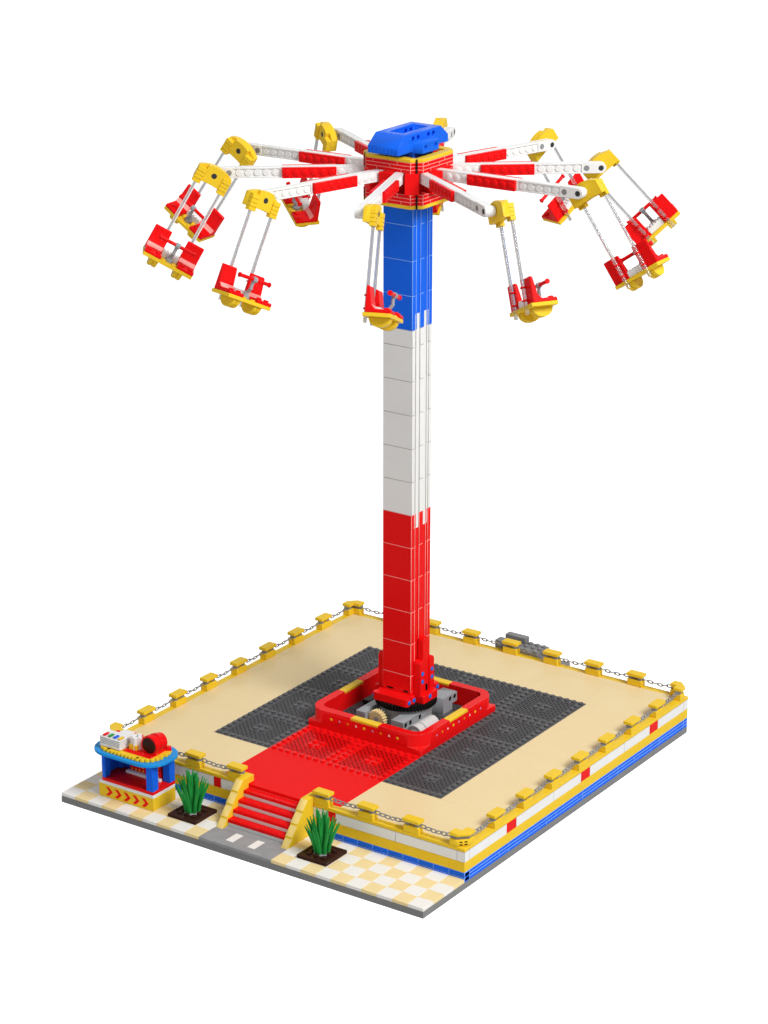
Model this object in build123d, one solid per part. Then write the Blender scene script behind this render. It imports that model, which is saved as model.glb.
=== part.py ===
"""Brick-built toy swing ride: a fenced plinth, a turning tower and ten swings on arms.

Millimetres. X runs right along the front, Y runs back, Z is up. The origin is on the floor under
the middle of the plinth. The tower's axis stands half a stud to the right of it.
"""
import math
import os

from build123d import *

# Moulding system
stud = 8.0
plate = 3.2
brick = 9.6
rod_d = 3.2
pin_d = 4.8
run_gap = 0.3
pin_gap = 0.05
round_sides = 12
rod_sides = 8
axis_x = stud / 2

# Base plates and forecourt
plinth_w = 400.0
plinth_d = 400.0
forecourt_d = 64.0
base_t = 2 * plate
paving_t = plate

# Plinth
wall_t = stud
course_h = brick
wall_h = 3 * course_h
deck_t = plate
tile_t = plate
mat_pitch = 64.0
mats_across = 4
well_side = 128.0
carpet_w = 128.0
course_groove = 0.8
marker_w = 16.0
marker_pitch = 128.0
marker_shift = 4.0

# Fence
post_pitch = 48.0
post_len = 16.0
post_h = brick
clip_t = plate
cap_t = plate
chain_h = 2.4
chain_w = 2.0
chain_sag = 1.6
corner_cut = stud

# Stairs
stair_w = 64.0
step_run = stud
step_count = 4
tread_nose = plate
stringer_w = stud
stringer_slopes = 4
slope_lip = 1.6
stringer_top = 16.0

# Ring round the well
ledge_h = 2 * plate
ring_t = stud
ring_h = brick
ring_r = 16.0
mark_len = 32.0

# Drive in the well, from the tower's axis
feet_h = 2 * plate
girder_h = brick
girder_hole_rise = 5.8
girder_out = 24.0
girder_front = -40.0
girder_back = 52.0
front_bay_w = 14.0
back_bay_w = 16.0
back_bay_l = 24.0
left_girder_end = -30.0
left_girder_w = stud
motor_d = 16.0
motor_l = 32.0
motor_x = 36.0
bearing_d = 50.0
turn_rise = 2 * brick
turn_root_d = 56.0
turn_tip_d = 59.0
turn_h = 6.4
turn_teeth = 56
drive_d = 18.6
drive_root_d = 15.4
drive_t = 6.0
drive_teeth = 20
drive_x = -10.0
drive_axle_d = pin_d
drive_axle_l = 16.0

# Tower
foot_h = 11.2
foot_beam_l = 40.0
foot_beam_w = stud
foot_beam_h = stud
foot_beam_y = 12.0
foot_side_l = 24.0
foot_side_out = 28.0
bracket_w = stud
bracket_t = stud
bracket_h = 31.2
spur_w = 9.6
spur_t = 6.4
spur_h = 52.8
tower_side = 32.0
panel_t = 4.8
rib_w = 6.4
groove = 1.0
panel_h = 32.0
red_panels = 5.5
white_panels = 5.5
blue_h = 115.2
core_step = 14.4

# Hub
hub_side = 64.0
hub_cut = stud
hub_ring_h = brick
hub_gap_h = 2 * brick
notch = 1.2
core_flat = 44.0
spacer_w = 13.0
spacer_r = 39.5

# Crown
crown_w = 32.0
crown_l = 80.0
crown_top_l = 56.0
crown_h = 16.0
crown_lip = 6.4
crown_open_w = 16.0
crown_open_l = 40.0
crown_open_h = 9.6
crown_hole_rise = 11.2
cheek_l = 32.0
cheek_h = brick
cheek_t = stud
cheek_taper = 3.2
cheek_drop = 1.6
cheek_hole_rise = 4.8

# Arms
arm_count = 10
first_arm_angle = 2.6
arm_w = stud
arm_h = brick
arm_pin_r = 172.0
cheek_start = 64.0
cheek_len = 48.0
arm_cheek_t = plate
web_depth = 1.0
web_rim = 1.6
tip_land = 8.0

# Swings, hanging from the pin
head_l = 32.0
head_t = 6.0
head_gap = 2.4
head_drop = 9.0
head_shoulder = 3.0
head_rise = 8.0
clip_w = stud
clip_depth = 5.2
clip_drop = 12.0
rod_spacing = 24.0
rod_tail = 4.5
car_w = 48.0
car_d = 24.0
car_t = plate
car_drop = 87.0
seat_w = 16.0
seat_h = 22.4
seat_t = plate
back_top_t = 2.4
back_foot_t = 5.6
keel_w = stud
keel_inset = 1.6
keel_h = 8.0
lever_foot = stud
lever_foot_h = 6.4
lever_t = plate
bar_len = 34.0
bar_rise = 17.6
bar_inset = 3.6
swing_tilts = (35, 43, 36, 30, 23, 35, 30, 25, 21, 25)

# Kiosk
kiosk_w = 64.0
kiosk_d = 32.0
kiosk_base_h = 4 * plate
counter_t = 2 * plate
counter_cut = 4.8
column = stud
column_h = 25.6
screen_t = plate
roof_w = 80.0
roof_d = 48.0
roof_t = plate
roof_r = 20.0
display_in = 3.2
display_t = plate
ribbed_w = 24.0
ribbed_d = 16.0
ribbed_h = 6.4
rib_count = 4
rib_t = 3.2
drum_d = 20.0
drum_h = brick

# Planters
planter_side = 32.0
planter_t = plate
bush_h = 42.0
bush_foot_r = 6.0
bush_top_r = 12.0
bush_sides = 8

# Power box behind the plinth
power_w = 80.0
power_d = 32.0
power_h = 41.6
power_x = 8.0
power_lid_w = 40.0
power_lid_h = 6.4

# Levels
paving_top = base_t + paving_t
wall_top = base_t + wall_h
deck_top = wall_top + tile_t
cap_top = wall_top + post_h + clip_t + cap_t
ring_z = deck_top + ledge_h
girder_z = deck_top + feet_h
bearing_z = girder_z + girder_h
turn_z = deck_top + turn_rise
foot_z = turn_z + turn_h
tower_z = foot_z + foot_h
red_top = tower_z + red_panels * panel_h
white_top = red_top + white_panels * panel_h
hub_z = white_top + blue_h
hub_ring_z = hub_z + plate
hub_gap_z = hub_ring_z + hub_ring_h
hub_upper_z = hub_gap_z + hub_gap_h
hub_top = hub_upper_z + hub_ring_h + plate
arm_z = hub_upper_z - arm_h
arm_mid = arm_z + arm_h / 2


def block(x0, x1, y0, y1, z0, z1):
    """Box between two corners."""
    return Pos((x0 + x1) / 2, (y0 + y1) / 2, (z0 + z1) / 2) * Box(x1 - x0, y1 - y0, z1 - z0)


def prism(points, z0, height):
    """Upright prism on an outline in plan."""
    return extrude(Pos(0, 0, z0) * make_face(Polyline(*points, close=True)), height)


def side_prism(points, x0, width):
    """Prism along X on an outline of (y, z) points."""
    outline = Plane.YZ.offset(x0) * make_face(Polyline(*points, close=True))
    return extrude(outline, width)


def rounded_slab(width, depth, radius, z0, height):
    """Upright slab with round corners."""
    return extrude(Pos(0, 0, z0) * RectangleRounded(width, depth, radius), height)


def square_ring(outer, inner, z0, height):
    """Square frame about the axis."""
    ring = Rectangle(outer, outer) - Rectangle(inner, inner)
    return extrude(Pos(0, 0, z0) * ring, height)


def union(shapes):
    """One solid from touching shapes."""
    first, *rest = shapes
    for shape in rest:
        first = first + shape
    return first


def group(shapes):
    """Compound of separate solids."""
    return Compound(children=[solid for shape in shapes for solid in shape.solids()])


def side_rod(x, y, z, diameter, length, sides=round_sides):
    """Rod or pin hole along X about a centre, with few sides because such pieces repeat."""
    outline = Plane.YZ.offset(x - length / 2) * Pos(y, z) * RegularPolygon(diameter / 2, sides)
    return extrude(outline, length)


on_axis = Pos(axis_x, 0, 0)


nodes = {}

# Base plates, paving and walls
half_w = plinth_w / 2
half_d = plinth_d / 2
front_y = -half_d - forecourt_d
nodes["base_plate"] = block(-half_w, half_w, front_y, half_d, 0, base_t)
stair_half = stair_w / 2
gate = stair_half + stringer_w
stringer_foot = -half_d - step_run * (stringer_slopes + 1)
stringer_seat = block(-gate, gate, stringer_foot, -half_d, base_t, paving_top)
stair_seat = block(-stair_half, stair_half, stringer_foot, -half_d, base_t, paving_top)
paving = block(-half_w, half_w, front_y, -half_d, base_t, paving_top)
nodes["forecourt_paving"] = paving - (stringer_seat - stair_seat)
for k, colour in enumerate(("blue", "yellow", "white")):
    z = base_t + k * course_h
    outer = Rectangle(plinth_w, plinth_d)
    inner = Rectangle(plinth_w - 2 * wall_t, plinth_d - 2 * wall_t)
    nodes[f"{colour}_course"] = extrude(Pos(0, 0, z) * (outer - inner), course_h)

# The blue course has a profiled front, and red bricks mark the white one
groove_z = base_t + course_h / 2
nodes["blue_course"] -= block(-half_w, half_w, -half_d, -half_d + course_groove,
                              groove_z - course_groove / 2, groove_z + course_groove / 2)
white_z = base_t + 2 * course_h
markers = []
for y in (marker_shift - marker_pitch, marker_shift, marker_shift + marker_pitch):
    markers.append(block(half_w - wall_t, half_w, y - marker_w / 2, y + marker_w / 2, white_z, wall_top))
for marker in markers:
    nodes["white_course"] -= marker
nodes["course_markers"] = group(markers)

# Deck: a plate between the walls that carries the grille mats, with tan tiles round them
inner_w = half_w - wall_t
inner_d = half_d - wall_t
well = well_side / 2
carpet = carpet_w / 2
mats = mat_pitch * mats_across / 2
nodes["deck_tiles"] = (
    block(-inner_w, inner_w, -inner_d, inner_d, wall_top, deck_top)
    - block(-mats, mats, -mats, mats, wall_top, deck_top)
    - block(-carpet, carpet, -half_d, -mats, wall_top, deck_top)
)
nodes["dark_mats"] = (
    block(-mats, mats, -mats, mats, wall_top, deck_top)
    + block(-inner_w, inner_w, -inner_d, inner_d, wall_top - deck_t, wall_top)
    - block(-carpet, carpet, -mats, -well, wall_top, deck_top)
)
nodes["carpet"] = (
    block(-carpet, carpet, -inner_d, -well, wall_top, deck_top)
    + block(-gate, gate, -half_d, -inner_d, wall_top, deck_top)
)


# Fence: each side has a coping with posts, their caps, and clips with chains between them
post_top = wall_top + post_h
clip_top = post_top + clip_t
clip_inset = plate / 2


def post_places(length):
    """Places of the posts along one side, between the corners."""
    free = length / 2 - 1.5 * post_len - stud
    count = int(free // post_pitch)
    return [post_pitch * k for k in range(-count, count + 1)]


def chain_run(start, end):
    """Bar that follows the sag of a chain between two clips, along X at y = 0."""
    top = clip_top - (clip_t - chain_h) / 2
    line = [(start, top), ((start + end) / 2, top - chain_sag), (end, top)]
    under = [(x, z - chain_h) for x, z in reversed(line)]
    link = Plane.XZ.offset(-chain_w / 2) * make_face(Polyline(*line, *under, close=True))
    return Pos(0, wall_t / 2, 0) * extrude(link, chain_w)


def fence_run(start, end, places):
    """Yellow and grey pieces of a straight run, with its outer face at y = 0."""
    half = post_len / 2
    yellow = [block(start, end, 0, wall_t, wall_top, deck_top)]
    clips = []
    for x in places:
        yellow.append(block(x - half, x + half, 0, wall_t, deck_top, post_top))
        yellow.append(block(x - half, x + half, 0, wall_t, clip_top, cap_top))
        clips.append(block(x - half, x + half, clip_inset, wall_t - clip_inset, post_top, clip_top))
    for left, right in zip(places, places[1:]):
        clips.append(chain_run(left + half, right - half))
    return yellow, clips


def corner_post(z0, height, inset):
    """Corner piece with a cut outer corner, at the near right corner of the plinth."""
    inner = wall_t - inset
    cut = corner_cut + inset / 2
    points = [(-post_len, inset), (-cut, inset), (-inset, cut), (-inset, post_len),
              (-inner, post_len), (-inner, inner), (-post_len, inner)]
    return prism(points, z0, height)


side_turns = {"front": 0, "right": 90, "back": 180, "left": 270}
chain_parts = []
for side, turn in side_turns.items():
    along, away = (half_w, half_d) if side in ("front", "back") else (half_d, half_w)
    frame = Rot(0, 0, turn) * Pos(0, -away, 0)
    places = post_places(2 * along)
    inner_end = along - post_len
    if side == "front":
        gate_post = gate + post_len / 2
        halves = {"_left": (-along + wall_t, -gate, [x for x in places if x <= -gate_post]),
                  "_right": (gate, along - wall_t, [x for x in places if x >= gate_post])}
    else:
        halves = {"": (-along + wall_t, along - wall_t, places)}
    for suffix, (start, end, spots) in halves.items():
        yellow, grey = fence_run(start, end, spots)
        if end == along - wall_t:
            yellow[0] = yellow[0] + block(end, along, 0, wall_t, wall_top, deck_top)
            yellow.append(Pos(along, 0, 0) * corner_post(deck_top, post_h - tile_t, 0))
            yellow.append(Pos(along, 0, 0) * corner_post(clip_top, cap_t, 0))
            grey.append(Pos(along, 0, 0) * corner_post(post_top, clip_t, clip_inset))
            grey.append(chain_run(spots[-1] + post_len / 2, inner_end))
        if start == -along + wall_t:
            grey.append(chain_run(-inner_end, spots[0] - post_len / 2))
        nodes[f"fence_{side}{suffix}"] = group([frame * piece for piece in yellow])
        chain_parts.append(frame * union(grey))
nodes["fence_chains"] = union(chain_parts)

# Stairs
steps = []
step_h = (wall_top - paving_top) / step_count
for k in range(step_count):
    y = -half_d - step_run * (step_count - k)
    z = paving_top + step_h * k
    steps.append(block(-stair_half, stair_half, y, -half_d, z, z + step_h))
nodes["stair_flight"] = union(steps)
stringers = []
for x in (-gate, stair_half):
    outline = [(-half_d + stringer_top, deck_top), (-half_d, deck_top)]
    outline += [(-half_d, base_t), (stringer_foot, base_t)]
    for k in range(stringer_slopes):
        y = stringer_foot + step_run * k
        z = base_t + brick * k
        outline += [(y, z + slope_lip), (y + step_run, z + brick)]
    outline.append((-half_d + stringer_top, base_t + brick * stringer_slopes))
    stringers.append(side_prism(outline, x, stringer_w))
nodes["stair_stringers"] = group(stringers)

# Ring round the well: a square ledge and a wall with round corners, flush with it
ledge = square_ring(well_side, well_side - 2 * ring_t, deck_top, ledge_h)


def ring_wall(z0, height):
    """Round-cornered square wall of the ring."""
    inner = well_side - 2 * ring_t
    outline = RectangleRounded(well_side, well_side, ring_r) - RectangleRounded(inner, inner, ring_r - ring_t)
    return extrude(Pos(0, 0, z0) * outline, height)


rim_z = ring_z + ring_h
marks = []
for k in range(4):
    bar = block(-mark_len / 2, mark_len / 2, -well, ring_t - well, rim_z, rim_z + plate)
    marks.append(Rot(0, 0, 90 * k) * bar)
nodes["ring_marks"] = group(marks)
ring = ledge + ring_wall(ring_z, ring_h + plate)
for mark in marks:
    ring = ring - mark
nodes["ring_wall"] = ring


# Drive: girders on feet carry the turntable's fixed half, with the motor and the gear beside it
def drilled_girder(x0, x1, y0, y1, holes):
    """Girder along Y with pin holes across it."""
    girder = block(x0, x1, y0, y1, girder_z, bearing_z)
    for y in holes:
        girder = girder - side_rod((x0 + x1) / 2, y, girder_z + girder_hole_rise, pin_d, x1 - x0)
    return girder


gear_z = deck_top + run_gap + drive_d / 2
gear_y = -turn_tip_d / 2 - run_gap - drive_t / 2
front_bay = girder_out - front_bay_w
right_girder = drilled_girder(front_bay, girder_out, girder_front, -stud,
                              [girder_front + stud / 2, girder_front + 1.5 * stud, girder_front + 3.5 * stud])
back_girder = drilled_girder(girder_out - back_bay_w, girder_out, girder_back - back_bay_l, girder_back,
                             [girder_back - stud / 2, girder_back - 1.5 * stud])
left_side = left_girder_end + left_girder_w
left_front = girder_front + left_girder_w
rail_back = girder_back - stud
rail_front = girder_back - back_bay_l
left_inner = drive_x - drive_d / 2 - run_gap
left_girder = block(left_girder_end, left_inner, girder_front, left_front, girder_z, bearing_z)
left_rail = block(left_girder_end, left_side, left_front, rail_back, girder_z, bearing_z)
cross_rail = block(left_side, girder_out - back_bay_w, rail_front, rail_back, girder_z, bearing_z)
bearing_h = turn_z - run_gap - girder_z
bearing = Pos(0, 0, girder_z + bearing_h / 2) * Cylinder(bearing_d / 2, bearing_h)
feet = union([
    block(front_bay, girder_out, girder_front, -stud, deck_top, girder_z),
    block(left_girder_end, left_side, girder_front, rail_back, deck_top, girder_z),
    block(left_side, girder_out, rail_front, rail_back, deck_top, girder_z),
    Pos(0, 0, deck_top + feet_h / 2) * Cylinder(bearing_d / 2, feet_h),
])
motor_z = deck_top + motor_d / 2
motor = Pos(motor_x, girder_front + motor_l / 2, motor_z) * Rot(90, 0, 0) * Cylinder(motor_d / 2, motor_l)
motor_clip = block(girder_out, motor_x, girder_front + stud, -2 * stud, deck_top, motor_z)
gear_face = gear_y - drive_t / 2
axle = Rot(90, 0, 0) * Cylinder(drive_axle_d / 2, drive_axle_l)
axle = Pos(drive_x, gear_face + drive_axle_l / 2, gear_z) * axle
gear_bay = block(drive_x - drive_d / 2 - run_gap, drive_x + drive_d / 2 + run_gap,
                 girder_front, gear_face + drive_t + run_gap, deck_top, bearing_z)
gearbox = union([bearing, feet, right_girder, back_girder, left_girder, left_rail, cross_rail])
gearbox = gearbox - gear_bay + axle + motor + motor_clip
nodes["gearbox"] = union([on_axis * solid for solid in gearbox.solids()])


def toothed_disc(root_d, tip_d, teeth, height):
    """Disc with straight tapered teeth, its axis on Z and its foot at z = 0."""
    points = []
    for k in range(teeth):
        for share, radius in ((-0.3, root_d / 2), (-0.14, tip_d / 2), (0.14, tip_d / 2), (0.3, root_d / 2)):
            angle = 2 * math.pi * (k + share) / teeth
            points.append((radius * math.cos(angle), radius * math.sin(angle)))
    return prism(points, 0, height)


turntable = toothed_disc(turn_root_d, turn_tip_d, turn_teeth, turn_h)
nodes["turntable_ring"] = on_axis * Pos(0, 0, turn_z) * turntable

# Tower foot: two pairs of round-ended beams, side beams, brackets with round tops and a spur
tower_half = tower_side / 2
beam_end = foot_beam_w / 2 - run_gap


def round_bar(length, width, height):
    """Upright bar with half-round ends, along X."""
    return extrude(RectangleRounded(length, width, beam_end), height)


def bracket(width, thickness, height):
    """Upright with a round top, its thickness along X from x = 0 and its foot at z = 0."""
    half = width / 2
    sides = Polyline((-half, height - half), (-half, 0), (half, 0), (half, height - half))
    top = ThreePointArc((half, height - half), (0, height), (-half, height - half))
    return extrude(Plane.YZ * make_face(sides + top), thickness)


foot = block(-tower_half, tower_half, -tower_half, tower_half, foot_z, tower_z)
for sign in (-1, 1):
    inner = Pos(0, sign * (foot_beam_y + foot_beam_w), foot_z)
    foot = foot + inner * round_bar(foot_beam_l, 2 * foot_beam_w, foot_beam_h)
    turn = Rot(0, 0, 90 - 90 * sign)
    side = block(tower_half, foot_side_out, -foot_side_l / 2, foot_side_l / 2, foot_z, foot_z + foot_beam_h)
    foot = foot + turn * side
    for y in (-stud, stud):
        foot = foot + turn * Pos(tower_half, y, foot_z) * bracket(bracket_w, bracket_t, foot_h + bracket_h)
    spur = Pos(tower_half, 0, foot_z) * bracket(spur_w, spur_t, foot_h + spur_h)
    foot = foot + turn * spur
nodes["tower_foot"] = on_axis * foot


def tower_section(skin_z0, skin_z1, core_z0, core_z1):
    """One colour of the tower: face panels and side ribs on a core."""
    half = tower_half
    core_half = half - groove
    core = block(-core_half, core_half, -(half - panel_t), half - panel_t, core_z0, core_z1)
    front = block(-half, half, -half, panel_t - half, skin_z0, skin_z1)
    back = block(-half, half, half - panel_t, half, skin_z0, skin_z1)
    left = block(-half, -core_half, -rib_w / 2, rib_w / 2, skin_z0, skin_z1)
    right = block(core_half, half, -rib_w / 2, rib_w / 2, skin_z0, skin_z1)
    return on_axis * (core + front + back + left + right)


nodes["tower_red"] = tower_section(tower_z, red_top, tower_z, red_top - core_step)
nodes["tower_white"] = tower_section(red_top, white_top, red_top - core_step, white_top + core_step)
nodes["tower_blue"] = tower_section(white_top, hub_z, white_top + core_step, hub_z)


# Hub: two square rings with cut corners, and a core between them with a spacer beside each arm
def cut_square(z0, height):
    """Square slab with cut corners, each with a shallow V notch."""
    half = hub_side / 2
    middle = half - hub_cut / 2 - notch
    points = []
    for k in range(4):
        turn = Rot(0, 0, 90 * k)
        for x, y in ((half - hub_cut, -half), (middle, -middle), (half, hub_cut - half)):
            points.append(tuple((turn * Pos(x, y, 0)).position)[:2])
    return prism(points, z0, height)


rim_inner = hub_side / 2 - stud
rim_z0 = hub_top - plate
rim = cut_square(rim_z0, plate) - block(-rim_inner, rim_inner, -rim_inner, rim_inner, rim_z0, hub_top)
nodes["hub_trims"] = group([on_axis * cut_square(hub_z, plate), on_axis * rim])
core_r = core_flat / 2 / math.cos(math.pi / arm_count)
core_turn = Rot(0, 0, first_arm_angle + 180 / arm_count)
core = extrude(Pos(0, 0, hub_gap_z) * core_turn * RegularPolygon(core_r, arm_count), hub_gap_h)
hub_lower = cut_square(hub_ring_z, hub_ring_h) + core
nodes["hub_upper"] = on_axis * cut_square(hub_upper_z, hub_ring_h)
side_half = core_flat / 2 * math.tan(math.pi / arm_count) - arm_w / 2 / math.cos(math.pi / arm_count)
wedge = [(core_flat / 2, -side_half), (spacer_r, -spacer_w / 2)]
wedge += [(spacer_r, spacer_w / 2), (core_flat / 2, side_half)]
for k in range(arm_count):
    turn = Rot(0, 0, first_arm_angle + 360 / arm_count * (k + 0.5))
    hub_lower = hub_lower + turn * prism(wedge, hub_gap_z, hub_gap_h)
nodes["hub_lower"] = on_axis * hub_lower

# Crown: a hollow frame with sloped ends on a mount, with a drilled cheek on each long side
crown_z = hub_top + plate
crown_top = crown_z + crown_h
half_l = crown_l / 2
half_top = crown_top_l / 2
profile = [(-half_l, crown_z), (half_l, crown_z), (half_l, crown_z + crown_lip), (half_top, crown_top),
           (-half_top, crown_top), (-half_l, crown_z + crown_lip)]
crown = side_prism(profile, -crown_w / 2, crown_w)
crown = crown - block(-crown_open_w / 2, crown_open_w / 2, -crown_open_l / 2, crown_open_l / 2,
                      crown_top - crown_open_h, crown_top)
for y in (-2 * stud, -stud, stud, 2 * stud):
    crown = crown - side_rod(0, y, crown_z + crown_hole_rise, pin_d, crown_w)
crown = crown + block(-tower_half, tower_half, -tower_half, tower_half, hub_top - plate, crown_z)
cheek_z = crown_z - cheek_drop
cheek_half = cheek_l / 2
cheek_face = cheek_half - cheek_taper
cheek_outline = [(0, -cheek_half), (cheek_t, -cheek_face), (cheek_t, cheek_face), (0, cheek_half)]
cheek = prism(cheek_outline, cheek_z, cheek_h)
for y in (-stud, stud):
    cheek = cheek - side_rod(cheek_t / 2, y, cheek_z + cheek_hole_rise, pin_d, cheek_t)
for turn in (0, 180):
    crown = crown + Rot(0, 0, turn) * Pos(crown_w / 2, 0, 0) * cheek
nodes["crown"] = on_axis * crown

# Arms: white beams with red cheeks, recessed webs, and a pin at each round tip
arm_root = core_flat / 2
head_y = arm_w / 2 + head_gap
shank_l = head_gap + head_t
arm_top = arm_z + arm_h
sides = Polyline((arm_pin_r, arm_z), (arm_root, arm_z), (arm_root, arm_top), (arm_pin_r, arm_top))
nose = ThreePointArc((arm_pin_r, arm_top), (arm_pin_r + arm_h / 2, arm_mid), (arm_pin_r, arm_z))
beam = extrude(Plane.XZ.offset(-arm_w / 2) * make_face(sides + nose), arm_w)
web = block(cheek_start + cheek_len + web_rim, arm_pin_r - tip_land, arm_w / 2 - web_depth, arm_w / 2,
            arm_z + web_rim, arm_top - web_rim)
beam = beam - web - Pos(0, web_depth - arm_w, 0) * web
shank = Pos(arm_pin_r, arm_mid) * RegularPolygon(pin_d / 2, round_sides)
shank = extrude(Plane.XZ.offset(-arm_w / 2) * shank, -shank_l)
beam = beam + shank
cheeks = [block(cheek_start, cheek_start + cheek_len, arm_w / 2, arm_w / 2 + arm_cheek_t, arm_z, arm_top),
          block(cheek_start, cheek_start + cheek_len, -arm_w / 2 - arm_cheek_t, -arm_w / 2, arm_z, arm_top)]
beam_parts = []
cheek_parts = []
for k in range(arm_count):
    turn = on_axis * Rot(0, 0, first_arm_angle + 360 / arm_count * k)
    beam_parts.append(turn * beam)
    cheek_parts += [turn * plank for plank in cheeks]
nodes["arm_beams"] = group(beam_parts)
nodes["arm_cheeks"] = group(cheek_parts)

# Swings
clip_y = head_y + head_t
rod_y = clip_y + clip_depth / 2
car_y = rod_y
floor_z = car_t - car_drop
seat_back_y = rod_y + rod_d / 2 + run_gap
car_front = car_y + car_d


def swing_frame(k):
    """Placement of one swing: the pin at the origin, X outwards, Y ahead, hanging down."""
    turn = Rot(0, 0, first_arm_angle + 360 / arm_count * k)
    return on_axis * turn * Pos(arm_pin_r, 0, arm_mid) * Rot(0, -swing_tilts[k], 0)


def swing_carrier():
    """Arched head with two clips, two rods, and the car's floor on its two round keels."""
    half = head_l / 2
    arch = ThreePointArc((half, head_shoulder), (0, head_rise), (-half, head_shoulder))
    base = Polyline((-half, head_shoulder), (-half, -head_drop), (half, -head_drop), (half, head_shoulder))
    body = extrude(Plane.XZ.offset(-clip_y) * make_face(arch + base), head_t)
    body = body - Pos(0, head_y + head_t / 2, 0) * Rot(90, 0, 0) * Cylinder(pin_d / 2 + pin_gap, head_t)
    floor = block(-car_w / 2, car_w / 2, car_y, car_front, -car_drop, floor_z)
    keel_back = (seat_back_y + keel_inset, -car_drop)
    keel_front = (car_front - keel_inset, -car_drop)
    keel_foot = ((keel_back[0] + keel_front[0]) / 2, -car_drop - keel_h)
    keel = make_face(ThreePointArc(keel_back, keel_foot, keel_front) + Line(keel_front, keel_back))
    rod_end = -car_drop - rod_tail
    for x in (-rod_spacing / 2, rod_spacing / 2):
        left, right = x - clip_w / 2, x + clip_w / 2
        body = body + block(left, right, clip_y, clip_y + clip_depth, -clip_drop, head_shoulder)
        length = -clip_drop - rod_end
        body = body + extrude(Pos(x, rod_y, rod_end) * RegularPolygon(rod_d / 2, rod_sides), length)
        floor = floor + extrude(Plane.YZ.offset(x - keel_w / 2) * keel, keel_w)
    return body + floor


def swing_seats():
    """Two moulded seats with tapered backs, and the bar on its bent lever between them."""
    seat_top = floor_z + seat_t
    back_top = floor_z + seat_h
    foot_y = seat_back_y + back_foot_t
    shape = [(seat_back_y, floor_z), (car_front, floor_z), (car_front, seat_top), (foot_y, seat_top),
             (seat_back_y + back_top_t, back_top), (seat_back_y, back_top)]
    parts = [side_prism(shape, x, seat_w) for x in (-car_w / 2, car_w / 2 - seat_w)]
    bar_y = car_front - bar_inset
    bar_z = floor_z + bar_rise
    inner = car_w / 2 - seat_w
    foot_top = floor_z + lever_foot_h
    parts.append(block(-inner, inner, foot_y, foot_y + lever_foot, floor_z, foot_top))
    elbow = foot_y + lever_foot
    lever = [(elbow - lever_t, floor_z), (elbow + lever_t, floor_z), (bar_y + lever_t / 2, bar_z),
             (bar_y - lever_t / 2, bar_z)]
    parts.append(side_prism(lever, -lever_t / 2, lever_t))
    parts.append(side_rod(0, bar_y, bar_z, rod_d, bar_len, rod_sides))
    return union(parts)


carrier = swing_carrier()
seats = swing_seats()
for k in range(arm_count):
    place = swing_frame(k)
    nodes[f"swing_{k + 1:02d}_carrier"] = place * carrier
    nodes[f"swing_{k + 1:02d}_seats"] = place * seats

# Kiosk: a base, a counter, columns with a screen behind and at the left, and a roof with its display
free_front = half_w - gate - kiosk_w - planter_side
kiosk_x = -half_w + (kiosk_w + free_front) / 2
forecourt_mid = -half_d - forecourt_d / 2
kiosk = Pos(kiosk_x, forecourt_mid, 0)
kw = kiosk_w / 2
kd = kiosk_d / 2
stand_z = paving_top + kiosk_base_h
counter_z = stand_z + counter_t
roof_z = counter_z + column_h
display_z = roof_z + roof_t
nodes["kiosk_base"] = kiosk * block(-kw, kw, -kd, kd, paving_top, stand_z)
counter = [(-kw + counter_cut, -kd), (kw, -kd), (kw, kd), (-kw, kd), (-kw, -kd + counter_cut)]
nodes["kiosk_counter"] = kiosk * prism(counter, stand_z, counter_t)
columns = block(-kw + column, kw - column, kd - screen_t, kd, counter_z, roof_z)
columns = columns + block(-kw, screen_t - kw, -kd + column, kd - column, counter_z, roof_z)
corners = [(-kw + column, -kd), (-kw + column, -kd + column), (-kw, -kd + column), (-kw, -kd + counter_cut),
           (-kw + counter_cut, -kd)]
columns = columns + prism(corners, counter_z, column_h)
for x, y in ((kw - column, -kd), (-kw, kd - column), (kw - column, kd - column)):
    columns = columns + block(x, x + column, y, y + column, counter_z, roof_z)
nodes["kiosk_columns"] = kiosk * columns
nodes["kiosk_roof"] = kiosk * rounded_slab(roof_w, roof_d, roof_r, roof_z, roof_t)
tray_w = roof_w - 2 * display_in
tray_d = roof_d - 2 * display_in
display = rounded_slab(tray_w, tray_d, roof_r - display_in, display_z, display_t)
ribbed_z = display_z + display_t
ribbed_x = -roof_w / 2 + display_in + stud
ribbed_y = -roof_d / 2 + display_in + stud / 2
ribbed_back = ribbed_y + ribbed_d
ribbed_top = ribbed_z + ribbed_h
display = display + block(ribbed_x, ribbed_x + ribbed_w, ribbed_y, ribbed_back, ribbed_z, ribbed_top)
for k in range(rib_count):
    x = ribbed_x + (ribbed_w - rib_t) / (rib_count - 1) * k
    display = display + block(x, x + rib_t, ribbed_y, ribbed_back, ribbed_z, ribbed_top + rib_t)
drum_x = ribbed_x + ribbed_w + stud / 2 + drum_d / 2
drum = Pos(drum_x, ribbed_y + drum_d / 2, ribbed_z + drum_h / 2) * Cylinder(drum_d / 2, drum_h)
display = display + drum
nodes["kiosk_display"] = kiosk * display

# Planters
planter_x = gate + free_front / 4 + planter_side / 2
trays = []
bushes = []
for x in (-planter_x, planter_x):
    half = planter_side / 2
    spot = Pos(x, forecourt_mid, 0)
    top = paving_top + planter_t
    trays.append(spot * block(-half, half, -half, half, paving_top, top))
    foot_outline = Pos(0, 0, top) * RegularPolygon(bush_foot_r, bush_sides)
    top_outline = Pos(0, 0, top + bush_h) * RegularPolygon(bush_top_r, bush_sides)
    bushes.append(spot * loft([foot_outline, top_outline], ruled=True))
nodes["planter_trays"] = group(trays)
nodes["planter_bushes"] = group(bushes)

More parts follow.
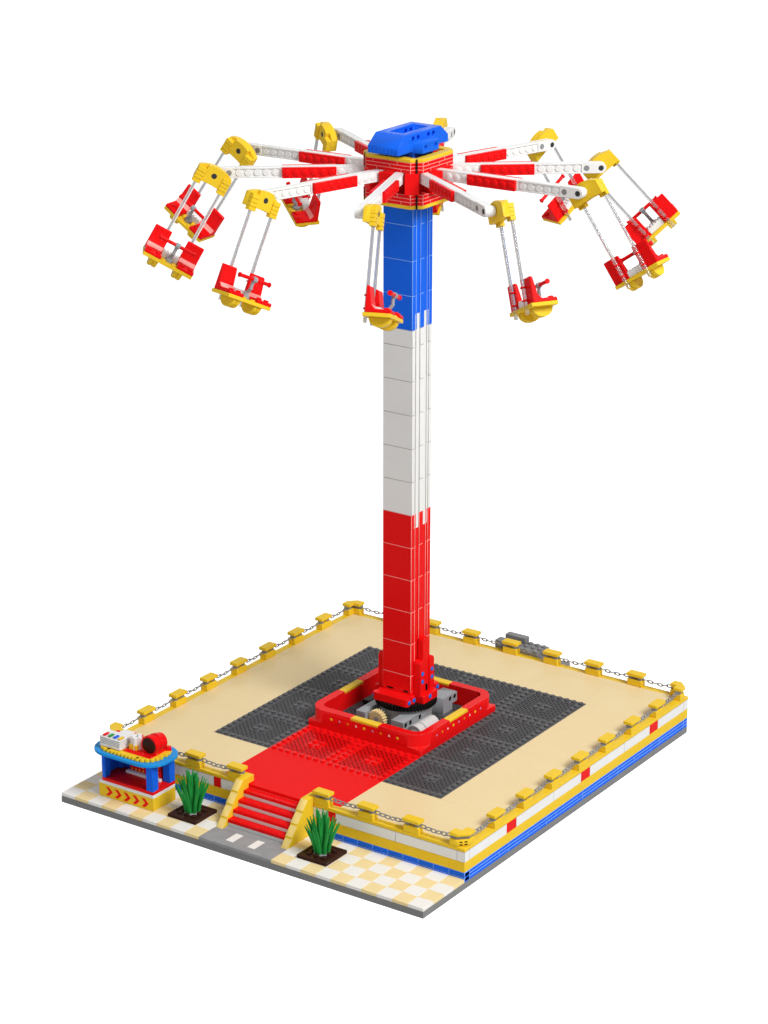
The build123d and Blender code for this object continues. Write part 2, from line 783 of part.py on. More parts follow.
# Power box behind the plinth
box_x = power_x - power_w / 2
power = block(box_x, box_x + power_w, half_d, half_d + power_d, 0, power_h)
lid = block(box_x, box_x + power_lid_w, half_d, half_d + power_d, power_h, power_h + power_lid_h)
nodes["power_box"] = power + lid

# Drive gear, on its axle beside the turntable
gear = toothed_disc(drive_root_d, drive_d, drive_teeth, drive_t)
gear = gear - Pos(0, 0, drive_t / 2) * Cylinder(drive_axle_d / 2 + pin_gap, drive_t)
nodes["drive_gear"] = on_axis * Pos(drive_x, gear_y + drive_t / 2, gear_z) * Rot(90, 0, 0) * gear

os.makedirs("parts", exist_ok=True)
for name, shape in nodes.items():
    export_step(shape, f"parts/{name}.step")
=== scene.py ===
"""Looks of the brick-built swing ride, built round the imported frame.

Lengths are millimetres until a piece is made.
"""
import logging
import math
import random
from dataclasses import dataclass, replace
from enum import IntEnum
from typing import Iterable, Sequence

import bmesh
import bpy
from mathutils import Matrix, Vector


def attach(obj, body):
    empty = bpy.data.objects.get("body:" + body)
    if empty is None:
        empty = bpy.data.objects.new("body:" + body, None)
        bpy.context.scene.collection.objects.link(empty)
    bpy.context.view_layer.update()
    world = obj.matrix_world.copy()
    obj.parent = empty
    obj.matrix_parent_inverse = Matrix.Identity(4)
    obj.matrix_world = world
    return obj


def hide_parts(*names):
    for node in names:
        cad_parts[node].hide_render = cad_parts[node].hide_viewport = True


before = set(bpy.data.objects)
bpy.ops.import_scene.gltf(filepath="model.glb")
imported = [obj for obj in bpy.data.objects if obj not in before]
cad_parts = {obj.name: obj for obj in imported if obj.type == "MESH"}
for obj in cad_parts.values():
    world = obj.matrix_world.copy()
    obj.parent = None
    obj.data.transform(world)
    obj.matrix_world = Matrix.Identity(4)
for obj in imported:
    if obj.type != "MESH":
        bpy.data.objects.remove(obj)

MM = 0.001
STUD = 8.0
PLATE = 3.2
BRICK = 9.6
STUD_R = 2.4
STUD_H = 1.7
BAR_R = 1.6
EDGE = 0.25
AXIS_X = 4.0
ARM_COUNT = 10
ARM_STEP = 360 / ARM_COUNT
FIRST_ARM = 2.6
ARM_REACH = 172.0
FLOW_SCALE = 1000 / 25
SCUFF_SCALE = 900.0
UP = Vector((0, 0, 1))
log = logging.getLogger("swing_ride")
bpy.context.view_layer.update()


class Side(IntEnum):
    """A side of the plinth, as quarter turns from the front."""

    FRONT = 0
    RIGHT = 1
    BACK = 2
    LEFT = 3


def linear(code: str) -> tuple[float, float, float, float]:
    """Turns an sRGB hex colour to linear RGBA.

    Args:
        code: six hex digits, with or without a leading #.

    Returns:
        The colour that a shader socket takes.
    """
    code = code.lstrip("#")
    values = [int(code[i:i + 2], 16) / 255 for i in (0, 2, 4)]
    return (*[v / 12.92 if v <= 0.04045 else ((v + 0.055) / 1.055) ** 2.4 for v in values], 1.0)


def node(tree: bpy.types.NodeTree, kind: str, links: dict | None = None, **settings: object) -> bpy.types.Node:
    """Adds one shader node with its settings and incoming links.

    Args:
        tree: the node tree that takes the node.
        kind: the node's class name.
        links: input name or number to an output socket or to a plain value.
        settings: attributes of the node.

    Returns:
        The new node.
    """
    made = tree.nodes.new(kind)
    for key, value in settings.items():
        setattr(made, key, value)
    for key, value in (links or {}).items():
        if isinstance(value, bpy.types.NodeSocket):
            tree.links.new(value, made.inputs[key])
        else:
            made.inputs[key].default_value = value
    return made


@dataclass(frozen=True)
class Moulded:
    """Injection-moulded ABS: one even colour with a hard gloss, faint flow marks and fine scuffs."""

    name: str
    colour: str
    slot: str
    mottled_tone_and_painted_edge: str = ""
    roughness: float = 0.22
    transmission: float = 0.0
    ior: float = 1.53
    shine: float = 0.06
    # edge: a paler colour painted on chamfers as a highlight line; on white it is grey, painted shade in the
    # seams
    edge: str = ""

    def painted_edges(self) -> "Moulded":
        """The finish of chamfers with painted edge light: the edge colour as a painted highlight line, grey
        painted shade on white.
        """
        pale = self.edge or self.colour
        return replace(self, name=f"{self.name}_edge", colour=pale, mottled_tone_and_painted_edge=self.edge, edge="")

    def material(self) -> bpy.types.Material:
        """Builds the material once and returns it.

        Returns:
            the material, made once for each name.
        """
        found = bpy.data.materials.get(self.name)
        if found:
            return found
        made = bpy.data.materials.new(self.name)
        made.use_nodes = True
        tree = made.node_tree
        tree.nodes.clear()
        place = node(tree, "ShaderNodeTexCoord").outputs["Object"]
        # flow marks: soft clouds about 25 mm across, which keep a large face from looking painted
        flow = node(tree, "ShaderNodeTexNoise", {"Vector": place, "Scale": FLOW_SCALE, "Detail": 2.0})
        # scuffs: fine wear about a millimetre wide, which breaks up the gloss
        scuffs = node(tree, "ShaderNodeTexNoise", {"Vector": place, "Scale": SCUFF_SCALE, "Detail": 3.0})
        tint = node(tree, "ShaderNodeMix", {"Factor": flow.outputs["Fac"]}, data_type="RGBA")
        tint.inputs["A"].default_value = linear(self.colour)
        tint.inputs["B"].default_value = linear(self.mottled_tone_and_painted_edge or self.colour)
        gloss = node(tree, "ShaderNodeMapRange", {
            "Value": scuffs.outputs["Fac"], "From Min": 0.3, "From Max": 0.7,
            "To Min": self.roughness - 0.05, "To Max": self.roughness + 0.09})
        # mould texture: a skin that ripples a few hundredths of a millimetre
        skin = node(tree, "ShaderNodeBump", {
            "Height": flow.outputs["Fac"], "Strength": 0.12, "Distance": 0.0006})
        shader = node(tree, "ShaderNodeBsdfPrincipled", {
            "Base Color": tint.outputs["Result"], "Roughness": gloss.outputs["Result"],
            "Normal": skin.outputs["Normal"], "IOR": self.ior, "Transmission Weight": self.transmission,
            "Specular IOR Level": self.shine})
        node(tree, "ShaderNodeOutputMaterial", {"Surface": shader.outputs["BSDF"]})
        return made


class Abs:
    """The toy's finishes, moulded ABS but for the clear rods."""

    # bricks: even colour and hard gloss, with a paler colour painted on their chamfers as a highlight line
    RED = Moulded("abs_bright_red", "#EE1416", "red", "#E61214", edge="#FFA8A0")
    YELLOW = Moulded("abs_bright_yellow", "#F2CB34", "yellow", "#EBC32A", edge="#FFE68C")
    BLUE = Moulded("abs_bright_blue", "#1A6AF0", "blue", "#1664E6", edge="#8CB8FF")
    # white bricks have grey painted on their chamfers, painted shade in the seams
    WHITE = Moulded("abs_white", "#EDEDEB", "white", "#E6E6E4", edge="#B4B0AE")
    # plates, tiles and small parts: even colour and gloss, with no line at the edge
    TAN = Moulded("abs_brick_yellow", "#EDD7A6", "tan", "#E9D2A0")
    # the grille mats look duller than a smooth tile
    MAT_GREY = Moulded("abs_dark_mat", "#5E5E60", "dark_grey", "#58585A", 0.32)
    LIGHT_GREY = Moulded("abs_medium_stone", "#A0A3A6", "grey", "#989B9E")
    BLACK = Moulded("abs_black", "#141414", "black", "#1A1A1A")
    AZURE = Moulded("abs_azure", "#2296E4", "azure", "#1E90DC")
    BROWN = Moulded("abs_dark_brown", "#3A201A", "brown", "#341C16")
    GREEN = Moulded("abs_dark_green", "#2C9C48", "leaf_green", "#24903E", 0.34)
    PIN_BLUE = Moulded("abs_pin_blue", "#1470D8", "blue", "#1068CC")
    # base plates carry a paler edge colour for a painted highlight line between their two layers, but no piece
    # here takes it
    BASE_GREY = Moulded("abs_base_grey", "#868686", "dark_grey", "#808080", edge="#B4B4B4")
    # forecourt tiles, fresh and clean
    PAVING = Moulded("abs_paving_tan", "#F4DDA6", "paving", "#EED69C")
    TILE_WHITE = Moulded("abs_tile_white", "#F2EFE9", "paving", "#ECE9E2")
    PATH_GREY = Moulded("abs_path_grey", "#AAA8A6", "paving", "#84868A")
    CHAIN_GREY = Moulded("abs_chain_grey", "#A2A2A0", "grey", "#74767A")
    PALE_GREY = Moulded("abs_pale_grey", "#D4D4D2", "grey", "#CCCCCA")
    PIN_GREY = Moulded("abs_pin_grey", "#3C3E40", "grey", "#363839")
    GEAR_TAN = Moulded("abs_gear_tan", "#E6CF9A", "tan", "#DEC68E")
    # the carpet's tiles lie flat and give back little of the sky, so they stay a deep red
    CARPET = Moulded("abs_red_tile", "#F01212", "red", "#EC1010", 0.3, shine=0.03)
    ORANGE = Moulded("abs_orange", "#F07818", "yellow", "#E87010")
    # the sloped strings, with a paler yellow painted on their slopes as a highlight
    SLOPE = Moulded("abs_yellow_slope", "#F2CB34", "yellow", "#EBC32A", edge="#F4D680")
    LILAC = Moulded("abs_lilac", "#B89CC8", "white", "#B094C0")
    # clear polycarbonate: see-through rods that bend what is behind them
    CLEAR = Moulded("polycarbonate_clear", "#F4F6F6", "white", "#F0F2F2", 0.06, 0.92, 1.58, 0.5)


@dataclass
class Studio:
    """Camera, lights, floor and world."""

    azimuth: float = 34.03
    elevation: float = 19.49
    roll: float = 0.21
    distance: float = 2516.73
    centre_px: tuple[float, float] = (403.26, 508.45)
    focal_px: float = 2714.21
    target: tuple[float, float, float] = (0.0, 0.0, 250.0)
    frame_px: tuple[int, int] = (768, 1024)
    sensor: float = 36.0
    world_light: float = 0.36
    floor_glow: float = 0.82
    lamps: tuple = (("key", (2180, -450, 2580), 1300, 96.0), ("fill", (-1300, -1900, 900), 1400, 5.0))

    def build(self) -> None:
        """Adds the camera, the lamps, the world and the floor."""
        scene = bpy.context.scene
        scene.view_settings.view_transform = "Standard"
        self.camera(scene)
        self.world(scene)
        for lamp in self.lamps:
            self.lamp(*lamp)
        self.floor()

    def camera(self, scene: bpy.types.Scene) -> None:
        """Places the camera where the fitted one stood.

        Args:
            scene: the scene that takes it.
        """
        wide, high = self.frame_px
        data = bpy.data.cameras.new("camera")
        data.sensor_width = self.sensor
        data.lens = self.focal_px * self.sensor / high
        data.shift_x = (wide / 2 - self.centre_px[0]) / high
        data.shift_y = (self.centre_px[1] - high / 2) / high
        data.clip_end = 50
        shot = bpy.data.objects.new("camera", data)
        a, e = math.radians(self.azimuth), math.radians(self.elevation)
        back = Vector((math.sin(a) * math.cos(e), -math.cos(a) * math.cos(e), math.sin(e)))
        shot.location = (Vector(self.target) + back * self.distance) * MM
        turn = back.to_track_quat("Z", "Y").to_matrix() @ Matrix.Rotation(math.radians(self.roll), 3, "Z")
        shot.rotation_euler = turn.to_euler()
        scene.collection.objects.link(shot)
        scene.camera = shot

    def world(self, scene: bpy.types.Scene) -> None:
        """A white backdrop for the eye and for gloss, and a dimmer one for light.

        Args:
            scene: the scene that takes it.
        """
        world = bpy.data.worlds.new("studio")
        world.use_nodes = True
        tree = world.node_tree
        tree.nodes.clear()
        ray = node(tree, "ShaderNodeLightPath").outputs
        eye = node(tree, "ShaderNodeMath", {0: ray["Is Camera Ray"], 1: ray["Is Transmission Ray"]},
                   operation="MAXIMUM").outputs[0]
        seen = node(tree, "ShaderNodeMath", {0: eye, 1: ray["Is Glossy Ray"]}, operation="MAXIMUM").outputs[0]
        white = linear("#FFFFFF")
        lit, plain = (node(tree, "ShaderNodeBackground", {"Color": white, "Strength": strength}).outputs[0]
                      for strength in (self.world_light, 1.0))
        mixed = node(tree, "ShaderNodeMixShader", {"Fac": seen, 1: lit, 2: plain})
        node(tree, "ShaderNodeOutputWorld", {"Surface": mixed.outputs[0]})
        scene.world = world

    def lamp(self, name: str, place: Sequence[float], size: float, power: float) -> None:
        """Adds a soft square lamp that looks at the ride.

        Args:
            name: the lamp's name.
            place: where it hangs, in millimetres.
            size: the side of its square, in millimetres.
            power: watts.
        """
        data = bpy.data.lights.new(name, "AREA")
        data.size = size * MM
        data.energy = power
        lamp = bpy.data.objects.new(name, data)
        lamp.location = Vector(place) * MM
        lamp.rotation_euler = (Vector(place) - Vector(self.target)).to_track_quat("Z", "Y").to_euler()
        bpy.context.scene.collection.objects.link(lamp)

    def floor(self) -> None:
        """Adds the pale floor, white to the camera and matte to everything else."""
        bm = bmesh.new()
        bmesh.ops.create_grid(bm, size=6.0)
        mesh = bpy.data.meshes.new("floor")
        bm.to_mesh(mesh)
        bm.free()
        floor = bpy.data.objects.new("floor", mesh)
        made = bpy.data.materials.new("pale_floor")
        made.use_nodes = True
        tree = made.node_tree
        tree.nodes.clear()
        matte = node(tree, "ShaderNodeBsdfDiffuse", {"Color": linear("#D2D2D2")})
        glow = node(tree, "ShaderNodeEmission", {"Color": linear("#FFFFFF"), "Strength": self.floor_glow})
        path = node(tree, "ShaderNodeLightPath")
        both = node(tree, "ShaderNodeAddShader", {0: matte.outputs[0], 1: glow.outputs[0]})
        pick = node(tree, "ShaderNodeMixShader", {"Fac": path.outputs["Is Camera Ray"], 1: matte.outputs[0],
                                                  2: both.outputs[0]})
        node(tree, "ShaderNodeOutputMaterial", {"Surface": pick.outputs[0]})
        mesh.materials.append(made)
        bpy.context.scene.collection.objects.link(floor)


class Form:
    """A shape in millimetres that grows by mesh operators and ends as one piece of the toy."""

    def __init__(self) -> None:
        """Starts empty."""
        self.bm = bmesh.new()

    @classmethod
    def of(cls, *names: str) -> "Form":
        """Copies carried-over nodes, with their triangles merged into flat faces.

        Args:
            names: the nodes to copy.

        Returns:
            The new form.
        """
        form = cls()
        for name in names:
            form.bm.from_mesh(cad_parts[name].data)
        bm = form.bm
        bmesh.ops.scale(bm, vec=(1 / MM,) * 3, verts=bm.verts)
        bmesh.ops.remove_doubles(bm, verts=bm.verts, dist=0.004)
        bmesh.ops.dissolve_limit(bm, angle_limit=math.radians(1), verts=bm.verts, edges=bm.edges)
        return form

    def block(self, low: Sequence[float], high: Sequence[float], turn: Matrix | None = None) -> "Form":
        """Adds a box.

        Args:
            low: its lowest corner.
            high: its highest corner.
            turn: a placement that follows.

        Returns:
            This form.
        """
        made = bmesh.ops.create_cube(self.bm, size=1.0)["verts"]
        bmesh.ops.scale(self.bm, vec=[b - a for a, b in zip(low, high)], verts=made)
        bmesh.ops.translate(self.bm, vec=[(a + b) / 2 for a, b in zip(low, high)], verts=made)
        if turn:
            bmesh.ops.transform(self.bm, matrix=turn, verts=made)
        return self

    def rod(self, start: Sequence[float], end: Sequence[float], radius: float, tip: float | None = None,
            sides: int = 12) -> "Form":
        """Adds a rod or a taper between two points.

        Args:
            start: the middle of its first end.
            end: the middle of its other end.
            radius: its radius at the start.
            tip: its radius at the end, the same if left out.
            sides: how many sides it has.

        Returns:
            This form.
        """
        span = Vector(end) - Vector(start)
        turn = span.to_track_quat("Z", "Y").to_matrix().to_4x4()
        place = Matrix.Translation((Vector(start) + Vector(end)) / 2) @ turn
        bmesh.ops.create_cone(self.bm, cap_ends=True, cap_tris=False, segments=sides, radius1=radius,
                              radius2=radius if tip is None else tip, depth=span.length, matrix=place)
        return self

    def slab(self, outline: Iterable[Sequence[float]], rise: Sequence[float]) -> "Form":
        """Adds a prism.

        Args:
            outline: the points of its flat foot.
            rise: how far and which way the foot is extruded.

        Returns:
            This form.
        """
        foot = self.bm.faces.new([self.bm.verts.new(p) for p in outline])
        made = bmesh.ops.extrude_face_region(self.bm, geom=[foot])["geom"]
        bmesh.ops.translate(self.bm, vec=rise, verts=[v for v in made if isinstance(v, bmesh.types.BMVert)])
        return self

    def ring(self, middle: Sequence[float], radius: float, thick: float, stretch: float = 1.0,
             turn: Matrix | None = None, steps: int = 10, sides: int = 5) -> "Form":
        """Adds a round or oval link by spinning a small circle about Z.

        Args:
            middle: its middle.
            radius: the radius of its centre line.
            thick: the radius of its wire.
            stretch: how much longer it is along X.
            turn: a rotation before it is placed.
            steps: how many parts the turn has.
            sides: how many sides the wire has.

        Returns:
            This form.
        """
        profile = bmesh.ops.create_circle(self.bm, cap_ends=False, segments=sides, radius=thick)["verts"]
        stand = Matrix.Translation((radius, 0, 0)) @ Matrix.Rotation(math.pi / 2, 4, "X")
        bmesh.ops.transform(self.bm, matrix=stand, verts=profile)
        wire = list({e for v in profile for e in v.link_edges})
        before = set(self.bm.verts)
        bmesh.ops.spin(self.bm, geom=profile + wire, cent=(0, 0, 0), axis=(0, 0, 1), angle=2 * math.pi,
                       steps=steps, use_merge=True)
        made = list(set(self.bm.verts) - before) + [v for v in profile if v.is_valid]
        place = Matrix.Translation(middle) @ (turn or Matrix()) @ Matrix.Diagonal((stretch, 1, 1, 1))
        bmesh.ops.transform(self.bm, matrix=place, verts=made)
        return self

    def studs(self, places: Iterable[Sequence[float]], z: float) -> "Form":
        """Adds studs.

        Args:
            places: the (x, y) of their middles.
            z: the level they stand on.

        Returns:
            This form.
        """
        for x, y in places:
            self.rod((x, y, z - 0.1), (x, y, z + STUD_H), STUD_R)
        return self

    def soften(self, width: float = EDGE, limit: float = 0.7, painted_edges: bool = False) -> "Form":
        """Breaks the sharp edges as a mould does.

        Args:
            width: the width of the break.
            limit: edges that turn by more than this many radians are broken.
            painted_edges: whether the chamfers take the finish's edge colour, a painted highlight line that is
                grey painted shade on white.

        Returns:
            This form.
        """
        sharp = [e for e in self.bm.edges if len(e.link_faces) == 2 and e.calc_face_angle(0.0) > limit]
        made = bmesh.ops.bevel(self.bm, geom=sharp, offset=width, offset_type="OFFSET", segments=1,
                               profile=0.5, affect="EDGES", clamp_overlap=True, material=-1)
        # painted edge light: the new chamfer faces take the edge colour, a highlight, grey shade on white
        for face in made["faces"] if painted_edges else ():
            face.material_index = 1
        return self

    def placed(self, matrix: Matrix) -> "Form":
        """A copy of this form at another place.

        Args:
            matrix: where the copy goes.

        Returns:
            The copy.
        """
        other = Form()
        other.bm = self.bm.copy()
        bmesh.ops.transform(other.bm, matrix=matrix, verts=other.bm.verts)
        return other

    def add(self, other: "Form", matrix: Matrix | None = None) -> "Form":
        """Takes in a copy of another form.

        Args:
            other: the form to copy.
            matrix: where the copy goes.

        Returns:
            This form.
        """
        spare = bpy.data.meshes.new("spare")
        other.placed(matrix or Matrix()).bm.to_mesh(spare)
        self.bm.from_mesh(spare)
        bpy.data.meshes.remove(spare)
        return self

    def piece(self, name: str, finish: "Moulded", body: str = "base", *stands_for: str) -> bpy.types.Object:
        """Makes the piece, in metres, on its body.

        Args:
            name: the piece's name.
            finish: its moulding finish.
            body: the body it rides on.
            stands_for: the nodes that it replaces.

        Returns:
            The new object.
        """
        bm = self.bm
        bmesh.ops.scale(bm, vec=(MM,) * 3, verts=bm.verts)
        bmesh.ops.recalc_face_normals(bm, faces=bm.faces)
        mesh = bpy.data.meshes.new(name)
        bm.to_mesh(mesh)
        bm.free()
        mesh.shade_smooth()
        mesh.set_sharp_from_angle(angle=0.62)
        mesh.materials.append(finish.material())
        # chamfers and facets marked 1 take the finish's edge colour, the painted highlight line
        if any(p.material_index for p in mesh.polygons):
            mesh.materials.append(finish.painted_edges().material())
        made = bpy.data.objects.new(name, mesh)
        bpy.context.scene.collection.objects.link(made)
        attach(made, body)
        if stands_for:
            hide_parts(*stands_for)
        log.info("%s: %d faces on %s", name, len(mesh.polygons), body)
        return made


def quarter(turns: int, x: float = 0.0) -> Matrix:
    """Rotation by quarter turns about an upright axis at x."""
    return Matrix.Translation((x, 0, 0)) @ Matrix.Rotation(turns * math.pi / 2, 4, "Z")


def about_axis(degrees: float) -> Matrix:
    """Rotation about the tower's axis."""
    return Matrix.Translation((AXIS_X, 0, 0)) @ Matrix.Rotation(math.radians(degrees), 4, "Z")


def steps(start: float, stop: float, pitch: float) -> list[float]:
    """Places from start up to stop, a pitch apart."""
    return [start + pitch * k for k in range(round((stop - start) / pitch))]


def arched(width: float, height: float, parts: int = 8) -> list[tuple[float, float]]:
    """Outline of an upright with a round top, its foot at zero.

    Args:
        width: its width.
        height: its height over all.
        parts: how many parts the round top has.

    Returns:
        Its points, sideways and up.
    """
    half = width / 2
    top = [(half * math.cos(math.pi * k / parts), height - half + half * math.sin(math.pi * k / parts))
           for k in range(parts + 1)]
    return [(half, 0.0), *top, (-half, 0.0)]


def rounded(width: float, depth: float, radius: float, parts: int = 6) -> list[tuple[float, float]]:
    """Outline of a rectangle with round corners.

    Args:
        width: its width.
        depth: its depth.
        radius: the radius of its corners.
        parts: how many parts each corner has.

    Returns:
        Its points in plan.
    """
    points = []
    for turn, (x, y) in enumerate(((1, 1), (-1, 1), (-1, -1), (1, -1))):
        for k in range(parts + 1):
            a = math.pi / 2 * (turn + k / parts)
            points.append((x * (width / 2 - radius) + radius * math.cos(a),
                           y * (depth / 2 - radius) + radius * math.sin(a)))
    return points


@dataclass
class Ground:
    """Base plates and the chequered forecourt."""

    half: float = 200.0
    front: float = -264.0
    plate: float = PLATE
    tile: float = 16.0
    top: float = 9.6
    path: float = 40.0
    stair: float = 32.0
    dashes: tuple[float, ...] = (-16.0, 8.0)
    dash_y: float = -256.0
    mark_t: float = 0.06
    seams: tuple = (((0.0,), (-8.0,)), ((-72.0, 56.0), (-136.0, 120.0)))

    def build(self) -> None:
        """Makes the plates, the tiles and the path."""
        plates = Form()
        for level, (across, along) in enumerate(self.seams):
            z = level * self.plate
            xs, ys = (-self.half, *across, self.half), (self.front, *along, self.half)
            for x0, x1 in zip(xs, xs[1:]):
                for y0, y1 in zip(ys, ys[1:]):
                    plates.block((x0, y0, z), (x1, y1, z + self.plate))
        plates.soften(0.12).piece("base_plates", Abs.BASE_GREY, "base", "base_plate")
        tan, white, grey, marks = Form(), Form(), Form(), Form()
        z0 = 2 * self.plate
        count = round(2 * self.half / self.tile)
        for i in range(count):
            for j in range(4):
                x = -self.half + i * self.tile
                y = self.front + j * self.tile
                if abs(x + self.tile / 2) > self.path:
                    pick = white if (i + j) % 2 == 0 else tan
                    pick.block((x, y, z0), (x + self.tile, y + self.tile, self.top))
        for x in steps(-self.path, self.path, self.tile):
            x1 = x + self.tile
            grey.block((x, self.front, z0), (x1, self.front + self.tile, self.top))
            grey.block((x, self.front + self.tile, z0), (x1, self.front + 1.5 * self.tile, self.top))
        grey.block((-self.stair, self.front + 1.5 * self.tile, z0), (self.stair, -self.half, self.top))
        for x in self.dashes:
            marks.block((x, self.dash_y, z0), (x + STUD, self.dash_y + self.tile, self.top + self.mark_t))
        tan.soften().piece("paving_tan", Abs.PAVING, "base", "forecourt_paving")
        white.soften().piece("paving_white", Abs.TILE_WHITE, "base", "forecourt_paving")
        grey.soften().piece("paving_path", Abs.PATH_GREY, "base", "forecourt_paving")
        marks.soften(0.15).piece("paving_marks", Abs.TILE_WHITE)


@dataclass
class Walls:
    """Three courses of bricks round the plinth."""

    half: float = 200.0
    deep: float = STUD
    foot: float = 6.4
    groove: float = 0.8
    core: float = 1.0
    grooved: float = 16.0
    brick: float = 32.0
    long: float = 64.0
    plates: tuple[float, ...] = (64.0, 48.0, 64.0)
    markers: tuple[float, ...] = (-124.0, 4.0, 132.0)
    gate_markers: tuple[float, ...] = (-68.0, 60.0)

    def run(self, form: Form, side: Side, start: float, end: float, length: float, z0: float, z1: float,
            inset: float = 0.0) -> None:
        """Lays bricks of one length along a side.

        Args:
            form: takes the bricks.
            side: the side of the plinth.
            start: where the run starts.
            end: where it ends.
            length: the length of a brick.
            z0: the lower level.
            z1: the upper level.
            inset: how far the face stands back.
        """
        at = start
        while at < end - 0.01:
            stop = min(at + length, end)
            form.block((at, -self.half + inset, z0), (stop, -self.half + self.deep, z1), quarter(side))
            at = stop

    def build(self) -> None:
        """Makes the blue, yellow and white courses with their red bricks."""
        blue, yellow, white, red = Form(), Form(), Form(), Form()
        for side in Side:
            end = self.half if side in (Side.FRONT, Side.BACK) else self.half - self.deep
            if side is Side.FRONT:
                middle = self.foot + BRICK / 2
                gap = self.groove / 2
                self.run(blue, side, -end, end, self.grooved, self.foot, middle - gap)
                self.run(blue, side, -end, end, self.grooved, middle + gap, self.foot + BRICK)
                self.run(blue, side, -end, end, self.long, self.foot + self.core,
                         self.foot + BRICK - self.core, self.groove)
            else:
                for k, length in enumerate(self.plates):
                    self.run(blue, side, -end, end, length, self.foot + PLATE * k, self.foot + PLATE * (k + 1))
            low = self.foot + BRICK
            self.run(yellow, side, -end, end, self.brick, low, low + BRICK)
            low += BRICK
            at = -end
            stops = {Side.FRONT: self.gate_markers, Side.RIGHT: self.markers}.get(side, ())
            half = STUD / 2 if side is Side.FRONT else STUD
            for stop in stops:
                self.run(white, side, at, stop - half, self.long, low, low + BRICK)
                self.run(red, side, stop - half, stop + half, 2 * half, low, low + BRICK)
                at = stop + half
            self.run(white, side, at, end, self.long, low, low + BRICK)
        # painted edge lines: pale highlight on the blue chamfers, grey painted shade in the white seams
        blue.soften(0.3, painted_edges=True).piece("wall_blue", Abs.BLUE, "base", "blue_course")
        yellow.soften().piece("wall_yellow", Abs.YELLOW, "base", "yellow_course")
        white.soften(painted_edges=True).piece("wall_white", Abs.WHITE, "base", "white_course")
        red.soften().piece("wall_red", Abs.RED, "base", "course_markers")


@dataclass
class Deck:
    """Tan tiles, grille mats with studs, and the red carpet."""

    top: float = 38.4
    mat: float = 64.0
    border: float = STUD
    bar: float = 1.9
    pitch: float = 3.8
    sunk: float = 0.25
    inner: float = 192.0
    mats: float = 128.0
    well: float = 64.0
    gate: float = 40.0

    def grille(self, studded: bool) -> Form:
        """One mat about the origin: border and centre with studs, diagonal bars between.

        Args:
            studded: whether it has its studs, which those under the ring don't show.

        Returns:
            The mat.
        """
        form = Form()
        half = self.mat / 2
        hole = half - self.border
        z0 = self.top - PLATE
        for turn in range(4):
            form.block((-half, -half, z0), (hole, -hole, self.top), quarter(turn))
        form.block((-STUD, -STUD, z0), (STUD, STUD, self.top))
        form.soften(0.2)
        reach = hole * math.sqrt(2)
        count = int(reach / self.pitch)
        for turn in (math.pi / 4, -math.pi / 4):
            for k in range(-count, count + 1):
                d = k * self.pitch
                long = reach - abs(d) + 0.8
                form.block((-long, d - self.bar / 2, z0 + 1.4),
                           (long, d + self.bar / 2, self.top - self.sunk), Matrix.Rotation(turn, 4, "Z"))
        if studded:
            first, last = half - STUD / 2, half / STUD * 2 - 1
            rim = [(x * STUD - first, y * STUD - first) for x in range(8) for y in range(8)
                   if x in (0, last) or y in (0, last)]
            tops = Form().studs(rim + [(x, y) for x in (-4, 4) for y in (-4, 4)], self.top).soften(0.3)
            form.add(tops)
        return form

    def build(self) -> None:
        """Makes the deck."""
        tiles, dark, red, carpet = Form(), Form(), Form(), Form()
        z0 = self.top - PLATE
        side, mats, mat = self.inner, self.mats, self.mat
        for y in steps(-side, side, mat):
            for x in (-side, mats):
                tiles.block((x, y, z0), (x + mat, y + mat, self.top))
        for x in steps(-mats, mats, mat):
            tiles.block((x, mats, z0), (x + mat, side, self.top))
        for x in (-mats, self.well):
            tiles.block((x, -side, z0), (x + mat, -mats, self.top))
        tiles.soften(0.12).piece("deck", Abs.TAN, "base", "deck_tiles")
        studded, plain = self.grille(True), self.grille(False)
        for i in range(4):
            for j in range(4):
                x, y = (i - 1.5) * self.mat, (j - 1.5) * self.mat
                inside = i in (1, 2) and j in (1, 2)
                pick = red if j == 0 and i in (1, 2) else dark
                pick.add(plain if inside else studded, Matrix.Translation((x, y, 0)))
        dark.block((-side, -side, z0 - PLATE), (side, side, z0))
        dark.piece("mats_dark", Abs.MAT_GREY, "base", "dark_mats")
        red.block((-self.well, -mats, z0), (self.well, -self.well, z0 + 0.4))
        red.piece("mats_red", Abs.RED, "base", "carpet")
        for x in (-self.well, 0):
            carpet.block((x, -side, z0), (x + mat, -mats, self.top))
        carpet.block((-self.gate, -side - STUD, z0), (self.gate, -side, self.top))
        carpet.soften(0.08).piece("carpet_tiles", Abs.CARPET, "base", "carpet")


